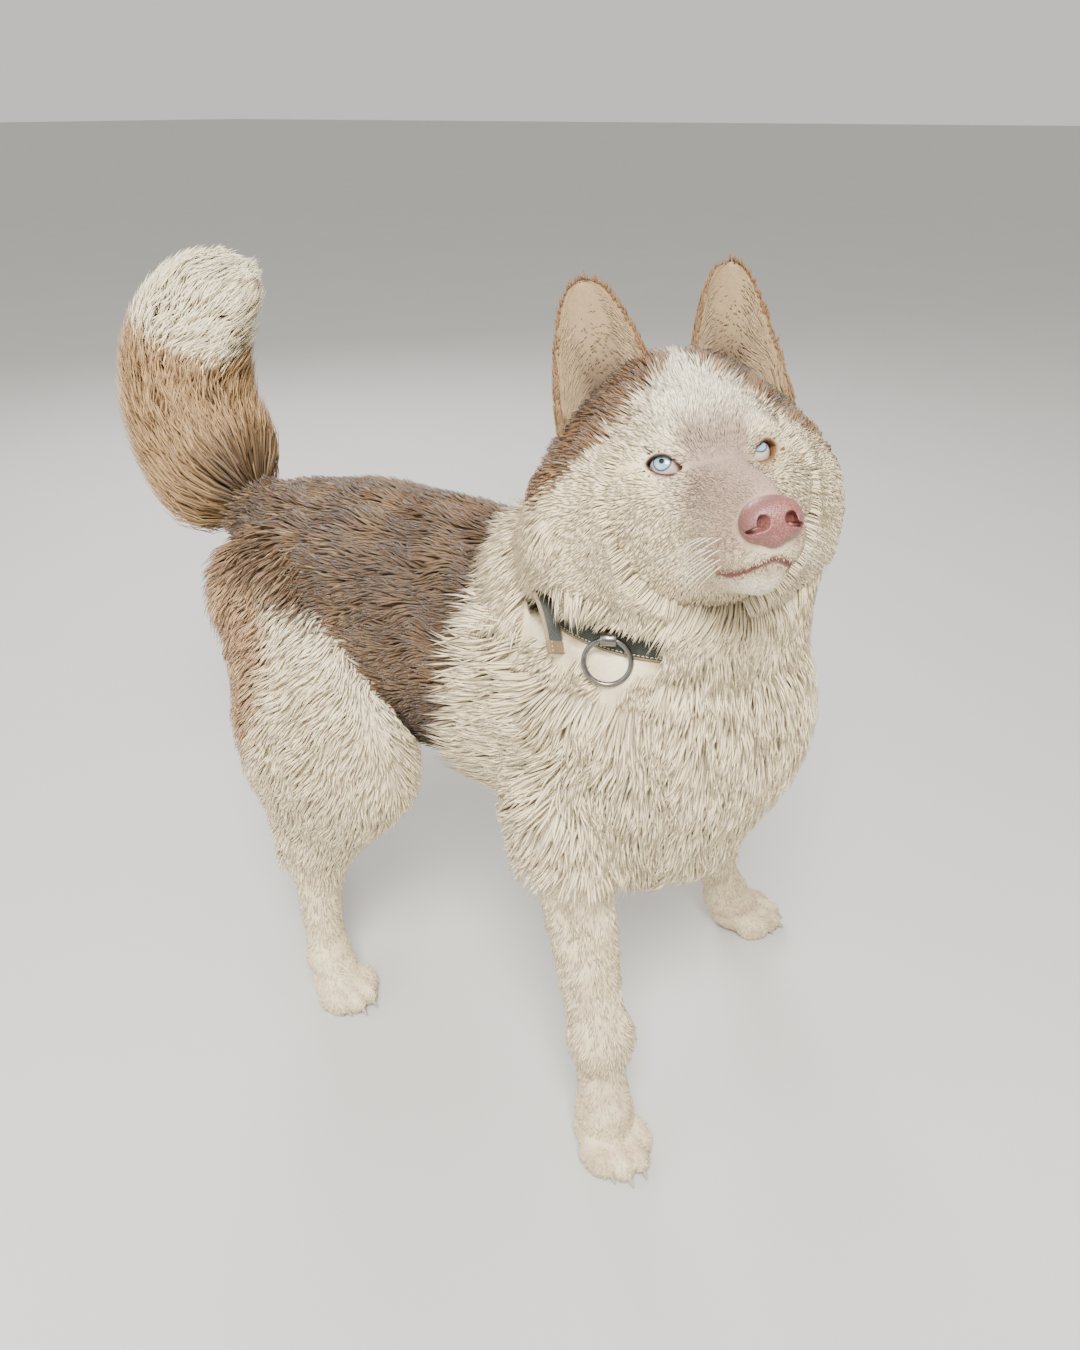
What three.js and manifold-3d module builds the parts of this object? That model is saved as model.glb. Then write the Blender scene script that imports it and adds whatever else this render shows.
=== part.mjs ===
// A life-size Siberian husky that stands with its head turned to its right and raised, and wears a
// collar. Millimetres, +Z up, the body faces -Y and its left side is +X. The origin is on the floor,
// at the middle of the model's footprint box.
//
// Each part of the body starts as bones and muscles, given as balls and tapering limbs. A smooth
// blend of their distances gives the coat's surface, and rays sent out from a part's own axis find
// it. Where the coat is long, that surface is only a core, and tapered locks grow out of it.

import * as THREE from 'three';
import { mergeVertices } from 'three/addons/utils/BufferGeometryUtils.js';
import Module from 'manifold-3d';

const wasm = await Module();
wasm.setup();

// Driving dimensions

const gap = 0.36; // space kept between two parts that touch

const headScale = 1.034;
const headYaw = -52.5; // degrees, to the dog's right
const headPitch = 20; // nose up
const headRoll = -5.7;

const v = (x, y, z) => new THREE.Vector3(x, y, z);
const radians = THREE.MathUtils.degToRad;

// Landmarks of the skeleton

const eyesMiddle = v(-62, -65, 657);
const side = { right: -1, left: 1 };
const foreleg = {
  right: {
    elbow: v(-106, 18, 318),
    wrist: v(-128, -28, 128),
    fetlock: v(-136, -40, 52),
    paw: v(-142, -50, 20),
    heading: -28,
  },
  left: {
    elbow: v(100, 14, 318),
    wrist: v(166, -18, 128),
    fetlock: v(196, -36, 52),
    paw: v(210, -54, 20),
    heading: 22,
  },
};
const hindleg = {
  right: {
    hip: v(-60, 352, 442),
    stifle: v(-104, 292, 325),
    hock: v(-98, 336, 172),
    fetlock: v(-114, 316, 50),
    paw: v(-121, 294, 19),
    heading: -10,
  },
  left: {
    hip: v(60, 372, 442),
    stifle: v(98, 358, 322),
    hock: v(88, 492, 178),
    fetlock: v(84, 506, 50),
    paw: v(84, 490, 19),
    heading: 4,
  },
};
const tailLine = new THREE.CatmullRomCurve3([
  v(0, 408, 500),
  v(0, 452, 512),
  v(-2, 492, 548),
  v(-4, 514, 604),
  v(-5, 508, 655),
  v(-5, 486, 694),
  v(-3, 454, 719),
  v(-2, 424, 734),
]);

// The head has its own axes: x to its left, y backwards, z up, and the eyes' middle as origin.
const headTurn = new THREE.Matrix4()
  .makeTranslation(eyesMiddle.x, eyesMiddle.y, eyesMiddle.z)
  .multiply(new THREE.Matrix4().makeRotationZ(radians(headYaw)))
  .multiply(new THREE.Matrix4().makeRotationX(radians(-headPitch)))
  .multiply(new THREE.Matrix4().makeRotationY(radians(headRoll)))
  .multiply(new THREE.Matrix4().makeScale(headScale, headScale, headScale));
const headBack = headTurn.clone().invert();
const onHead = (x, y, z) => v(x, y, z).applyMatrix4(headTurn);
const headDirection = (x, y, z) => v(x, y, z).transformDirection(headTurn);

// Distances to balls and limbs

function ball(centre, radii, turn = new THREE.Matrix4()) {
  const back = turn.clone().setPosition(centre).invert();
  return (p) => {
    const q = p.clone().applyMatrix4(back);
    const near = Math.hypot(q.x / radii[0], q.y / radii[1], q.z / radii[2]);
    const steep = Math.hypot(q.x / radii[0] ** 2, q.y / radii[1] ** 2, q.z / radii[2] ** 2);
    return steep < 1e-9 ? -Math.min(...radii) : (near * (near - 1)) / steep;
  };
}

// A limb tapers from one end's radius to the other's, and flat squeezes it along one direction.
function limb(from, to, startRadius, endRadius, flat = 1, across = v(1, 0, 0)) {
  const along = to.clone().sub(from);
  const length2 = along.lengthSq();
  return (p) => {
    const q = p.clone().sub(from);
    const t = THREE.MathUtils.clamp(q.dot(along) / length2, 0, 1);
    const off = q.addScaledVector(along, -t);
    const sideways = off.dot(across);
    off.addScaledVector(across, sideways / flat - sideways);
    const radius = startRadius + (endRadius - startRadius) * t;
    const d = off.length() - radius;
    return d * (flat < 1 ? THREE.MathUtils.lerp(1, flat, Math.abs(sideways / flat) / (off.length() + 1)) : 1);
  };
}

// One smooth surface over several pieces. softness is the size of the fillet between them.
function blend(pieces, softness) {
  return (p) => {
    let sum = 0;
    for (const piece of pieces) sum += Math.exp(-Math.min(piece(p) / softness, 60));
    return -softness * Math.log(sum);
  };
}

function pair(make) {
  return [make(-1), make(1)];
}

// Flesh and coat of each part. Pieces that reach over a cut between two parts belong to both, so
// that their surfaces meet there.

const neckBase = v(0, 0, 470);
const throat = v(3, -12, 565);
const skullBase = onHead(0, 62, -28);
const neckRoot = limb(neckBase, throat, 102, 92);
const neckTop = limb(throat, skullBase, 92, 86);

const torso = blend(
  [
    ball(v(0, 45, 425), [104, 178, 138]),
    ball(v(0, 190, 434), [101, 165, 128]),
    ball(v(0, 285, 464), [88, 115, 99]),
    ball(v(0, 362, 460), [92, 90, 88]),
    ball(v(0, 60, 520), [58, 70, 48]),
    ball(v(0, -50, 415), [82, 70, 103]),
    ball(v(0, -15, 318), [82, 76, 64]),
    ...pair((s) => ball(v(58 * s, -8, 402), [54, 84, 108])),
    limb(v(0, 395, 492), v(0, 440, 506), 40, 34),
    neckRoot,
  ],
  12,
);

const headAxes = new THREE.Matrix4().extractRotation(headTurn);
const headSide = headDirection(1, 0, 0);
const headUp = headDirection(0, 0, 1);
const crownCoat = 16;
function headBall(x, y, z, ...radii) {
  return ball(onHead(x, y, z), radii.map((r) => r * headScale), headAxes);
}
function headLimb(from, to, start, end, flat = 1) {
  return limb(onHead(...from), onHead(...to), start * headScale, end * headScale, flat, headSide);
}

const backOfHead = [
  headBall(0, 86, -14, 80, 56, 68),
  headBall(0, 58, -60, 66, 56, 42),
  ...pair((s) => headBall(60 * s, 78, -38, 44, 44, 52)),
  neckTop,
];
const neck = blend([neckRoot, ball(v(0, -14, 512), [94, 98, 56]), ...backOfHead], 12);
const face = blend(
  [
    ...backOfHead,
    headBall(0, 74, 13, 59, 64, 61),
    ...pair((s) => headBall(24 * s, 14, 14, 19, 19, 13)),
    ...pair((s) => headBall(42 * s, 40, -22, 32, 40, 34)),
    headLimb([0, -4, -10], [0, -82, -29], 17, 13.5),
    headLimb([0, 6, -33], [0, -80, -45], 33, 22.5),
    ...pair((s) => headBall(14 * s, -62, -50, 13, 30, 18)),
    headLimb([0, 30, -58], [0, -66, -70], 31, 15),
  ],
  6,
);

const legField = {};
for (const name of Object.keys(side)) {
  const front = foreleg[name];
  legField[`front_${name}`] = blend(
    [
      limb(front.elbow.clone().add(v(0, 8, 40)), front.elbow, 46, 41),
      limb(front.elbow, front.wrist, 39, 27),
      limb(front.wrist, front.fetlock, 27, 25),
      ball(front.wrist.clone().add(v(0, -5, 0)), [29, 27, 26]),
      limb(front.fetlock, front.paw, 26, 20),
    ],
    6,
  );
  const hind = hindleg[name];
  legField[`thigh_${name}`] = blend(
    [
      limb(hind.hip, hind.stifle, 86, 98, 0.58),
      limb(hind.stifle, hind.hock, 98, 44, 0.6),
    ],
    10,
  );
  legField[`shank_${name}`] = blend(
    [
      limb(hind.hock, hind.fetlock, 26, 23),
      ball(hind.hock.clone().add(v(0, 18, 4)), [17, 18, 24]),
      limb(hind.stifle.clone().lerp(hind.hock, 0.8), hind.hock, 38, 26),
      limb(hind.fetlock, hind.paw, 24, 19),
    ],
    5,
  );
}

// Solids out of meshes, and meshes out of solids

function solid(geometry) {
  const bare = geometry.index ? geometry.toNonIndexed() : geometry.clone();
  for (const name of Object.keys(bare.attributes)) if (name !== 'position') bare.deleteAttribute(name);
  const merged = mergeVertices(bare, 1e-4);
  const made = new wasm.Manifold(
    new wasm.Mesh({
      numProp: 3,
      vertProperties: merged.attributes.position.array,
      triVerts: new Uint32Array(merged.index.array),
    }),
  );
  return made.volume() < 0 ? solid(flipped(merged)) : made;
}

function flipped(geometry) {
  const index = geometry.index.array;
  for (let i = 0; i < index.length; i += 3) [index[i], index[i + 1]] = [index[i + 1], index[i]];
  return geometry;
}

function geometryOf(body) {
  const mesh = body.getMesh();
  return new THREE.BufferGeometry()
    .setAttribute('position', new THREE.BufferAttribute(new Float32Array(mesh.vertProperties), 3))
    .setIndex(new THREE.BufferAttribute(new Uint32Array(mesh.triVerts), 1));
}

// The largest closed surface of a solid, which drops scraps and fills sealed hollows.
function largest(body) {
  return body.decompose().reduce((best, one) => (one.volume() > best.volume() ? one : best));
}

function joined(solids) {
  return solids.reduce((all, one) => all.add(one));
}

// Skin of closed loops of points, one after another, with a strip or a fan at each end.
function loft(loops, stripEnds = false) {
  const sides = loops[0].length;
  const points = loops.flat();
  const faces = [];
  const id = (ring, k) => ring * sides + (k % sides);
  for (let ring = 0; ring + 1 < loops.length; ring += 1) {
    for (let k = 0; k < sides; k += 1) {
      faces.push(id(ring, k), id(ring, k + 1), id(ring + 1, k + 1));
      faces.push(id(ring, k), id(ring + 1, k + 1), id(ring + 1, k));
    }
  }
  for (const [ring, out] of [[0, false], [loops.length - 1, true]]) {
    const add = (a, b, c) => faces.push(...(out ? [a, b, c] : [b, a, c]));
    if (stripEnds) {
      for (let k = 0; k < sides / 2 - 1; k += 1) {
        const [a, b, c, d] = [id(ring, k), id(ring, k + 1), id(ring, sides - 2 - k), id(ring, sides - 1 - k)];
        if (b !== c) add(a, b, c);
        add(a, c, d);
      }
    } else {
      const middle = loops[ring].reduce((sum, p) => sum.add(p), v(0, 0, 0)).divideScalar(sides);
      points.push(middle);
      for (let k = 0; k < sides; k += 1) add(id(ring, k), id(ring, k + 1), points.length - 1);
    }
  }
  return new THREE.BufferGeometry().setFromPoints(points).setIndex(faces);
}

// How far a ray runs before it leaves a field's surface.
function reach(field, from, direction, level = 0) {
  const longest = 420;
  const at = (t) => {
    const p = from.clone().addScaledVector(direction, t);
    return field(p) - (typeof level === 'function' ? level(p) : level);
  };
  let inside = 0;
  let t = 0;
  while (t < longest && at(t) < 0) {
    inside = t;
    t += Math.max(1.5, -at(t) * 0.8);
  }
  let outside = t;
  for (let i = 0; i < 14; i += 1) {
    const middle = (inside + outside) / 2;
    if (at(middle) < 0) inside = middle;
    else outside = middle;
  }
  return (inside + outside) / 2;
}

function slope(field, p) {
  const step = 0.8;
  const axis = (d) => field(p.clone().add(d)) - field(p.clone().sub(d));
  return v(axis(v(step, 0, 0)), axis(v(0, step, 0)), axis(v(0, 0, step))).normalize();
}

// A part's coat: rings of rays leave its axis, each at its own place and tilt.
function sleeve(field, axis, { sides, stations, up = v(0, 0, 1), level = 0 }) {
  const loops = stations.map(([t, tiltDegrees]) => {
    const tilt = radians(tiltDegrees);
    const from = axis.getPoint(t);
    const along = axis.getTangent(t);
    const across = along.clone().cross(up).normalize();
    const upright = across.clone().cross(along);
    return Array.from({ length: sides }, (_, k) => {
      const turn = (2 * Math.PI * (k + 0.5)) / sides;
      const direction = across.clone().multiplyScalar(Math.cos(turn) * Math.cos(tilt));
      direction.addScaledVector(upright, Math.sin(turn) * Math.cos(tilt));
      direction.addScaledVector(along, Math.sin(tilt)).normalize();
      return from.clone().addScaledVector(direction, reach(field, from, direction, level));
    });
  });
  return solid(loft(loops));
}

// Square rings along the axis, with a fan of tilted ones round each end.
function stationsOf(rings, fan) {
  const list = [];
  for (let i = 1; i <= fan; i += 1) list.push([0, -90 + (90 * i) / (fan + 1)]);
  for (let i = 0; i <= rings; i += 1) list.push([i / rings, 0]);
  for (let i = 1; i <= fan; i += 1) list.push([1, (90 * i) / (fan + 1)]);
  return list;
}

const line = (...points) => new THREE.CatmullRomCurve3(points);

// Everything on the side of a plane that its normal points to.
function beyond(point, normal, shift = 0) {
  const size = 1600;
  const block = new THREE.BoxGeometry(size, size, size).translate(0, 0, size / 2 + shift);
  const turn = new THREE.Quaternion().setFromUnitVectors(v(0, 0, 1), normal.clone().normalize());
  return solid(block.applyQuaternion(turn).translate(point.x, point.y, point.z));
}

// Skin of closed loops of points that come round to the first again.
function hoop(loops) {
  const sides = loops[0].length;
  const count = loops.length;
  const id = (ring, k) => (ring % count) * sides + (k % sides);
  const faces = [];
  for (let ring = 0; ring < count; ring += 1) {
    for (let k = 0; k < sides; k += 1) {
      faces.push(id(ring, k), id(ring, k + 1), id(ring + 1, k + 1));
      faces.push(id(ring, k), id(ring + 1, k + 1), id(ring + 1, k));
    }
  }
  return new THREE.BufferGeometry().setFromPoints(loops.flat()).setIndex(faces);
}

// Locks of long hair

function seeded(seed) {
  let state = seed;
  return () => {
    state = (state * 1664525 + 1013904223) % 4294967296;
    return state / 4294967296;
  };
}

// One lock: a ridged blade that starts under the core's surface, runs along the lie of the coat and
// rises to its tip. size gives its length, width, thickness and its tip's height over the core.
const lockSteps = 3;
const lockRise = [0, 0.62, 0.92, 1];
const lockSink = 9;
function lock(field, root, lieAt, size, grow = 0) {
  const loops = [];
  const p = root.clone();
  let tip = p;
  for (let i = 0; i <= lockSteps; i += 1) {
    const out = slope(field, p);
    const height = -lockSink + (size.height + lockSink) * lockRise[i];
    p.addScaledVector(out, height - field(p));
    const flow = lieAt(p).projectOnPlane(out).normalize();
    const across = flow.clone().cross(out).normalize();
    if (i === lockSteps) tip = p.clone().addScaledVector(flow, 10 * grow);
    else {
      const middle = p.clone().addScaledVector(flow, i === 0 ? -2 * grow : 0);
      const wide = (size.width / 2) * [0.45, 1, 0.7][i] + 10 * grow;
      const high = size.thick * [0.9, 1, 0.7][i];
      loops.push([
        middle.clone().addScaledVector(across, wide).addScaledVector(out, -0.35 * high - 1.8 * grow),
        middle.clone().addScaledVector(out, 0.65 * high + 2.2 * grow),
        middle.clone().addScaledVector(across, -wide).addScaledVector(out, -0.35 * high - 1.8 * grow),
      ]);
    }
    p.addScaledVector(flow, size.length / lockSteps);
  }
  return solid(pointed(loops, tip));
}

// Locks in rows. A row's rays leave its own point, spread over the turns, and each finds one root.
// The rows' locks are staggered, and each is a little longer, wider or more askew than the next.
function grow(field, rows, seed) {
  const random = seeded(seed);
  const about = (value, share) => value * (1 + share * (2 * random() - 1));
  const made = [];
  rows.forEach((row, number) => {
    for (let k = 0; k < row.count; k += 1) {
      const share = row.count === 1 ? 0.5 : (k + 0.5 + 0.3 * (number % 2 ? 1 : -1) * 0.5) / row.count;
      const turn = radians(row.turns[0] + (row.turns[1] - row.turns[0]) * share + 3 * (2 * random() - 1));
      const direction = row.ray(turn).normalize();
      const root = row.from.clone().addScaledVector(direction, reach(field, row.from, direction));
      const skew = 0.22 * (2 * random() - 1);
      const lieAt = (p) => {
        const lie = row.lie(p);
        return lie.applyAxisAngle(slope(field, p), skew);
      };
      const size = {
        length: about(row.length, 0.12),
        width: about(row.width, 0.1),
        thick: row.thick,
        height: about(typeof row.height === 'function' ? row.height(turn) : row.height, 0.12),
      };
      if (row.skip && row.skip(root)) continue;
      made.push({ body: lock(field, root, lieAt, size), room: lock(field, root, lieAt, size, 1.5 * gap) });
    }
  });
  return { body: joined(made.map((one) => one.body)), room: joined(made.map((one) => one.room)), count: made.length };
}

// Closed loops that end in one point.
function pointed(loops, tip) {
  const sides = loops[0].length;
  const base = loft(loops);
  const points = [...loops.flat(), tip];
  const faces = Array.from(base.index.array).slice(0, (loops.length - 1) * sides * 6);
  const last = (loops.length - 1) * sides;
  for (let k = 0; k < sides; k += 1) faces.push(last + k, last + ((k + 1) % sides), points.length - 1);
  for (let k = 1; k + 1 < sides; k += 1) faces.push(k, 0, k + 1);
  return new THREE.BufferGeometry().setFromPoints(points).setIndex(faces);
}

// Where one part ends and the next begins. after and before are its two sides, a gap apart, and the
// wide ones take in the gap as well.
function cut(point, normal) {
  const back = normal.clone().negate();
  return {
    after: beyond(point, normal, gap / 2),
    before: beyond(point, back, gap / 2),
    wideAfter: beyond(point, normal, -gap / 2),
    wideBefore: beyond(point, back, -gap / 2),
  };
}

const strapWidth = 22;
const strapThick = 3;
const collarMiddle = v(0, -8, 519);
const collarSlope = 0.05;
const collarTilt = v(0, -collarSlope, 1).normalize();
const neckCut = cut(collarMiddle.clone().addScaledVector(collarTilt, -strapWidth / 2 - gap), collarTilt);
const headCut = cut(v(5, -10, 598), v(-0.2776, -0.2132, 1));
const muzzleCut = cut(onHead(0, -18, 0), headDirection(0, -1, 0));
const chestCut = cut(v(0, 130, 430), v(0, 1, 0));
const loinCut = cut(v(0, 292, 460), v(0, 1, 0.05));
const tailEnds = [0.14, 0.4, 0.7];
const [rumpCut, tailMiddleCut, tailTipCut] = tailEnds.map((t) => cut(tailLine.getPoint(t), tailLine.getTangent(t)));
const floor = beyond(v(0, 0, 0), v(0, 0, 1));

// Sleeves of the torso, neck and head, at any depth of coat

const torsoLine = line(v(0, -40, 425), v(0, 120, 435), v(0, 290, 462), v(0, 385, 472));
const torsoShape = (level) => sleeve(torso, torsoLine, { sides: 24, stations: stationsOf(12, 4), level });
const neckLine = line(neckBase, throat, skullBase);
function neckShape(level) {
  return sleeve(neck, neckLine, { sides: 20, stations: stationsOf(6, 3), up: v(0, 1, 0), level });
}
const headLine = new THREE.LineCurve3(onHead(0, 62, -18), onHead(0, -84, -36));
const headStations = [
  ...[-75, -55, -35, -16, 0, 13, 26, 37, 46].map((tilt) => [0, tilt]),
  ...[[0.09, 51], [0.18, 52], [0.27, 50], [0.37, 45], [0.47, 37], [0.58, 28], [0.69, 19]],
  ...[[0.8, 10], [0.91, 4], [1, 6], [1, 30], [1, 58]],
];
// The crown's coat is short and part of the solid. Lower down it is left to the ruff's locks.
function headCoat(p) {
  const q = p.clone().applyMatrix4(headBack);
  const rear = THREE.MathUtils.smoothstep(q.y, 22, 70);
  return crownCoat * rear * THREE.MathUtils.smoothstep(q.z, -40, 20);
}
function headShape(extra) {
  const level = (p) => headCoat(p) + extra;
  return sleeve(face, headLine, { sides: 24, stations: headStations, up: headUp, level });
}
const whole = (p) => Math.min(neck(p), torso(p), face(p));

const torsoCore = torsoShape(0);
const torsoRoom = torsoShape(gap);
const neckCore = joined([neckShape(0), torsoCore]).intersect(chestCut.before).intersect(neckCut.after);
const neckRoom = joined([neckShape(gap), torsoRoom]).intersect(neckCut.wideAfter);

// Long coat in rows. Turns are in degrees: round the neck and chest from the left side over the back,
// and round the head and the mane's rear edge from the left side over the top.

const flat = (turn) => v(Math.cos(turn), Math.sin(turn), 0);
const upright = (turn) => v(Math.cos(turn), 0, Math.sin(turn));
const roundHead = (turn) => headDirection(Math.cos(turn), 0, Math.sin(turn));
const nearRing = (root) => root.x < -50 && root.y > -48 && root.y < 72 && root.z < 566;
const clearOfRing = (root) => root.x < -50 && root.y > -50 && root.y < 62 && root.z > 478;

const ruffLie = () => headDirection(0, 1, -0.55);
const ruffRows = [
  { from: onHead(0, 42, -20), turns: [164, 376], count: 8, length: 58, width: 64, height: 15 },
  { from: onHead(0, 74, -20), turns: [150, 390], count: 8, length: 62, width: 72, height: 17 },
].map((row) => ({ ...row, thick: 9, ray: roundHead, lie: ruffLie }));

const neckLie = () => v(0, 0.3, -1);
const neckRows = [
  { from: v(0, -6, 582), turns: [0, 360], count: 9, length: 70, width: 80, height: 19 },
  { from: v(0, -6, 546), turns: [18, 378], count: 9, length: 66, width: 82, height: 17, skip: nearRing },
].map((row) => ({ ...row, thick: 9, ray: flat, lie: neckLie }));
const maneLie = () => v(0, 1, -0.3);
neckRows.push({
  ...{ from: v(0, 84, 430), turns: [52, 128], count: 3, length: 66, width: 62, height: 13, thick: 9 },
  ...{ ray: upright, lie: maneLie },
});

const chestLie = () => v(0, 0.12, -1);
const chestRows = [
  { from: v(0, -10, 478), turns: [158, 376], count: 6, length: 72, width: 84, height: 12, skip: clearOfRing },
  { from: v(0, -10, 426), turns: [160, 378], count: 6, length: 74, width: 84, height: 15 },
  { from: v(0, -10, 372), turns: [170, 368], count: 6, length: 74, width: 78, height: 16 },
  { from: v(0, -10, 318), turns: [186, 352], count: 4, length: 68, width: 78, height: 20 },
].map((row) => ({ ...row, thick: 9, ray: flat, lie: chestLie }));
for (const turns of [[-50, 46], [134, 230]]) {
  chestRows.push({
    ...{ from: v(0, 84, 430), turns, count: 4, length: 66, width: 72, height: 13, thick: 9 },
    ...{ ray: upright, lie: maneLie },
  });
}

const tailEnd = tailLine.getPoint(1);
const tailBones = Array.from({ length: 14 }, (_, i) => {
  const [t, u] = [i / 14, (i + 1) / 14];
  return limb(tailLine.getPoint(t), tailLine.getPoint(u), tailCore(t), tailCore(u));
});
// The hair at the tip follows the tail's line on past its end.
tailBones.push(limb(tailEnd, tailEnd.clone().addScaledVector(tailLine.getTangent(1), 80), tailCore(1), 1));
const tailField = blend(tailBones, 3);
function tailRows(start, end, count) {
  return Array.from({ length: count }, (_, i) => {
    const t = start + ((end - start) * (i + 0.1)) / count;
    const from = tailLine.getPoint(t);
    const along = tailLine.getTangent(t);
    const across = v(1, 0, 0);
    const up = across.clone().cross(along).normalize();
    return {
      ...{ from, turns: [i * 36, 360 + i * 36], count: t < 0.75 ? 5 : 3, thick: 8 },
      ...{ length: 82 - 24 * t, width: 60 - 24 * t },
      height: (turn) => 44 * (1 - 0.9 * t ** 3) * (1 - 0.25 * Math.sin(turn) * (1 - t)),
      ray: (turn) => across.clone().multiplyScalar(Math.cos(turn)).addScaledVector(up, Math.sin(turn)),
      lie: () => along.clone(),
    };
  });
}

// Tail core, in lengths

function tailCore(t) {
  return 3 + 28 * Math.sqrt(1 - t ** 3);
}
function tailPiece(start, end, extra) {
  const rings = Math.round((end - start) * 14);
  const sides = 10;
  const loops = [];
  for (let i = 0; i <= rings; i += 1) {
    const t = start + ((end - start) * i) / rings;
    const from = tailLine.getPoint(t);
    const across = v(1, 0, 0);
    const up = across.clone().cross(tailLine.getTangent(t)).normalize();
    const radius = tailCore(t) + extra;
    loops.push(
      Array.from({ length: sides }, (_, k) => {
        const turn = (2 * Math.PI * k) / sides;
        const p = from.clone().addScaledVector(across, radius * Math.cos(turn));
        return p.addScaledVector(up, radius * Math.sin(turn));
      }),
    );
  }
  return solid(loft(loops));
}
const tailWhole = tailPiece(0.08, 1, 0);
const tailRoom = tailPiece(0.08, 1, gap);

// Collar: a strap round the neck, its loose end, and a ring in a keeper

const collarRadius = { x: 97, y: 102 };
function strapLoop(extra) {
  const steps = 28;
  const loops = [];
  for (let i = 0; i < steps; i += 1) {
    const turn = (2 * Math.PI * i) / steps;
    const outward = v(Math.cos(turn), Math.sin(turn), 0);
    const at = collarMiddle.clone().add(v(collarRadius.x * outward.x, collarRadius.y * outward.y, 0));
    at.z += collarSlope * collarRadius.y * outward.y;
    const half = strapWidth / 2 + extra;
    const thick = strapThick / 2 + extra;
    const corner = (a, b) => at.clone().addScaledVector(outward, a * thick).addScaledVector(collarTilt, b * half);
    loops.push([corner(1, -1), corner(1, 1), corner(-1, 1), corner(-1, -1)]);
  }
  return solid(hoop(loops));
}

// A solid box with its middle, its three axes and its size.
function slab(middle, [a, b, c], [x, y, z]) {
  const turn = new THREE.Matrix4().makeBasis(a, b, c).setPosition(middle);
  return solid(new THREE.BoxGeometry(x, y, z).applyMatrix4(turn));
}

const ringMiddle = v(-107.4, -12, 505.1);
const ringRadius = 17.9;
const ringWire = 2.1;
const ringNormal = v(-0.9, -0.38, 0.2).normalize();
const ringUp = v(0, 0, 1).addScaledVector(ringNormal, -ringNormal.z).normalize();
const ringAlong = ringUp.clone().cross(ringNormal).normalize();
const ringAxes = new THREE.Matrix4().makeBasis(ringAlong, ringUp, ringNormal).setPosition(ringMiddle);
const ringSolid = solid(new THREE.TorusGeometry(ringRadius, ringWire, 6, 18).applyMatrix4(ringAxes));
const ringPocket = solid(
  new THREE.CylinderGeometry(ringRadius + 7, ringRadius + 4, 40, 10)
    .rotateX(Math.PI / 2)
    .translate(0, 0, 12)
    .applyMatrix4(ringAxes),
);

// The keeper is a bent plate that closes round the ring's top and ends at the strap.
function keeperSolid() {
  const width = 12;
  const inner = ringWire + 1.6;
  const outer = inner + 1.5;
  const top = ringMiddle.clone().addScaledVector(ringUp, ringRadius);
  const bend = new THREE.Shape();
  bend.moveTo(-7, -outer);
  bend.lineTo(0, -outer);
  bend.absarc(0, 0, outer, -Math.PI / 2, Math.PI / 2, false);
  bend.lineTo(-7, outer);
  bend.lineTo(-7, inner);
  bend.lineTo(0, inner);
  bend.absarc(0, 0, inner, Math.PI / 2, -Math.PI / 2, true);
  bend.lineTo(-7, -inner);
  const plate = new THREE.ExtrudeGeometry(bend, { depth: width, bevelEnabled: false, curveSegments: 5 });
  plate.translate(0, 0, -width / 2);
  const axes = new THREE.Matrix4().makeBasis(ringNormal, ringUp, ringNormal.clone().cross(ringUp));
  return solid(plate.applyMatrix4(axes.setPosition(top)));
}
const keeperPocket = slab(
  ringMiddle.clone().addScaledVector(ringUp, ringRadius),
  [ringAlong, ringUp, ringNormal],
  [18, 12, 18],
);

const tabTop = v(-86, 58, 538);
const tabEnd = v(-109.5, 31, 503);
const tabDown = tabEnd.clone().sub(tabTop).normalize();
const tabWide = v(0.88, -0.24, -0.41).projectOnPlane(tabDown).normalize();
const tabFace = tabDown.clone().cross(tabWide).normalize();
function tabSolid(extra) {
  const size = [tabTop.distanceTo(tabEnd) + 2 * extra, 19 + 2 * extra, strapThick + 2 * extra];
  return slab(tabTop.clone().lerp(tabEnd, 0.5), [tabDown, tabWide, tabFace], size);
}
const strap = strapLoop(0);
const strapRoom = strapLoop(gap);
const parting = solid(
  new THREE.SphereGeometry(1, 8, 5).scale(28, 26, 36).rotateX(0.3).translate(-112, 44, 519),
);
const collarRoom = joined([strapRoom, ringPocket, keeperPocket, parting, tabSolid(gap)]);

// Head: lids round the eyes, a pad of nose leather, the mouth's groove and the ear cups

function sphere(middle, radius, detail) {
  return solid(new THREE.SphereGeometry(radius, detail, Math.round(detail * 0.7)).translate(...middle.toArray()));
}
const eyeRadius = 11.5;
const eyeAt = (s) => onHead(30 * s, 8, 0);
const gaze = (s) => headDirection(0.5 * s, -1, 0.1);
function eyeAxes(s) {
  const forward = gaze(s);
  const outward = headSide.clone().multiplyScalar(s).projectOnPlane(forward).normalize();
  const up = forward.clone().cross(outward).multiplyScalar(s);
  return new THREE.Matrix4().makeBasis(outward, up, forward).setPosition(eyeAt(s));
}
function lidOpening(s) {
  const almond = new THREE.Shape();
  almond.moveTo(-14.5, -4.5);
  almond.quadraticCurveTo(-1, 14, 12, 3);
  almond.quadraticCurveTo(1, -11, -14.5, -4.5);
  const prism = new THREE.ExtrudeGeometry(almond, { depth: 30, bevelEnabled: false, curveSegments: 4 });
  return solid(prism.translate(0, 0, 6).applyMatrix4(eyeAxes(s)));
}

// A point moved onto the face's surface.
function onFace(x, y, z) {
  const p = onHead(x, y, z);
  for (let i = 0; i < 6; i += 1) p.addScaledVector(slope(face, p), -face(p) * 0.9);
  return p;
}

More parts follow.
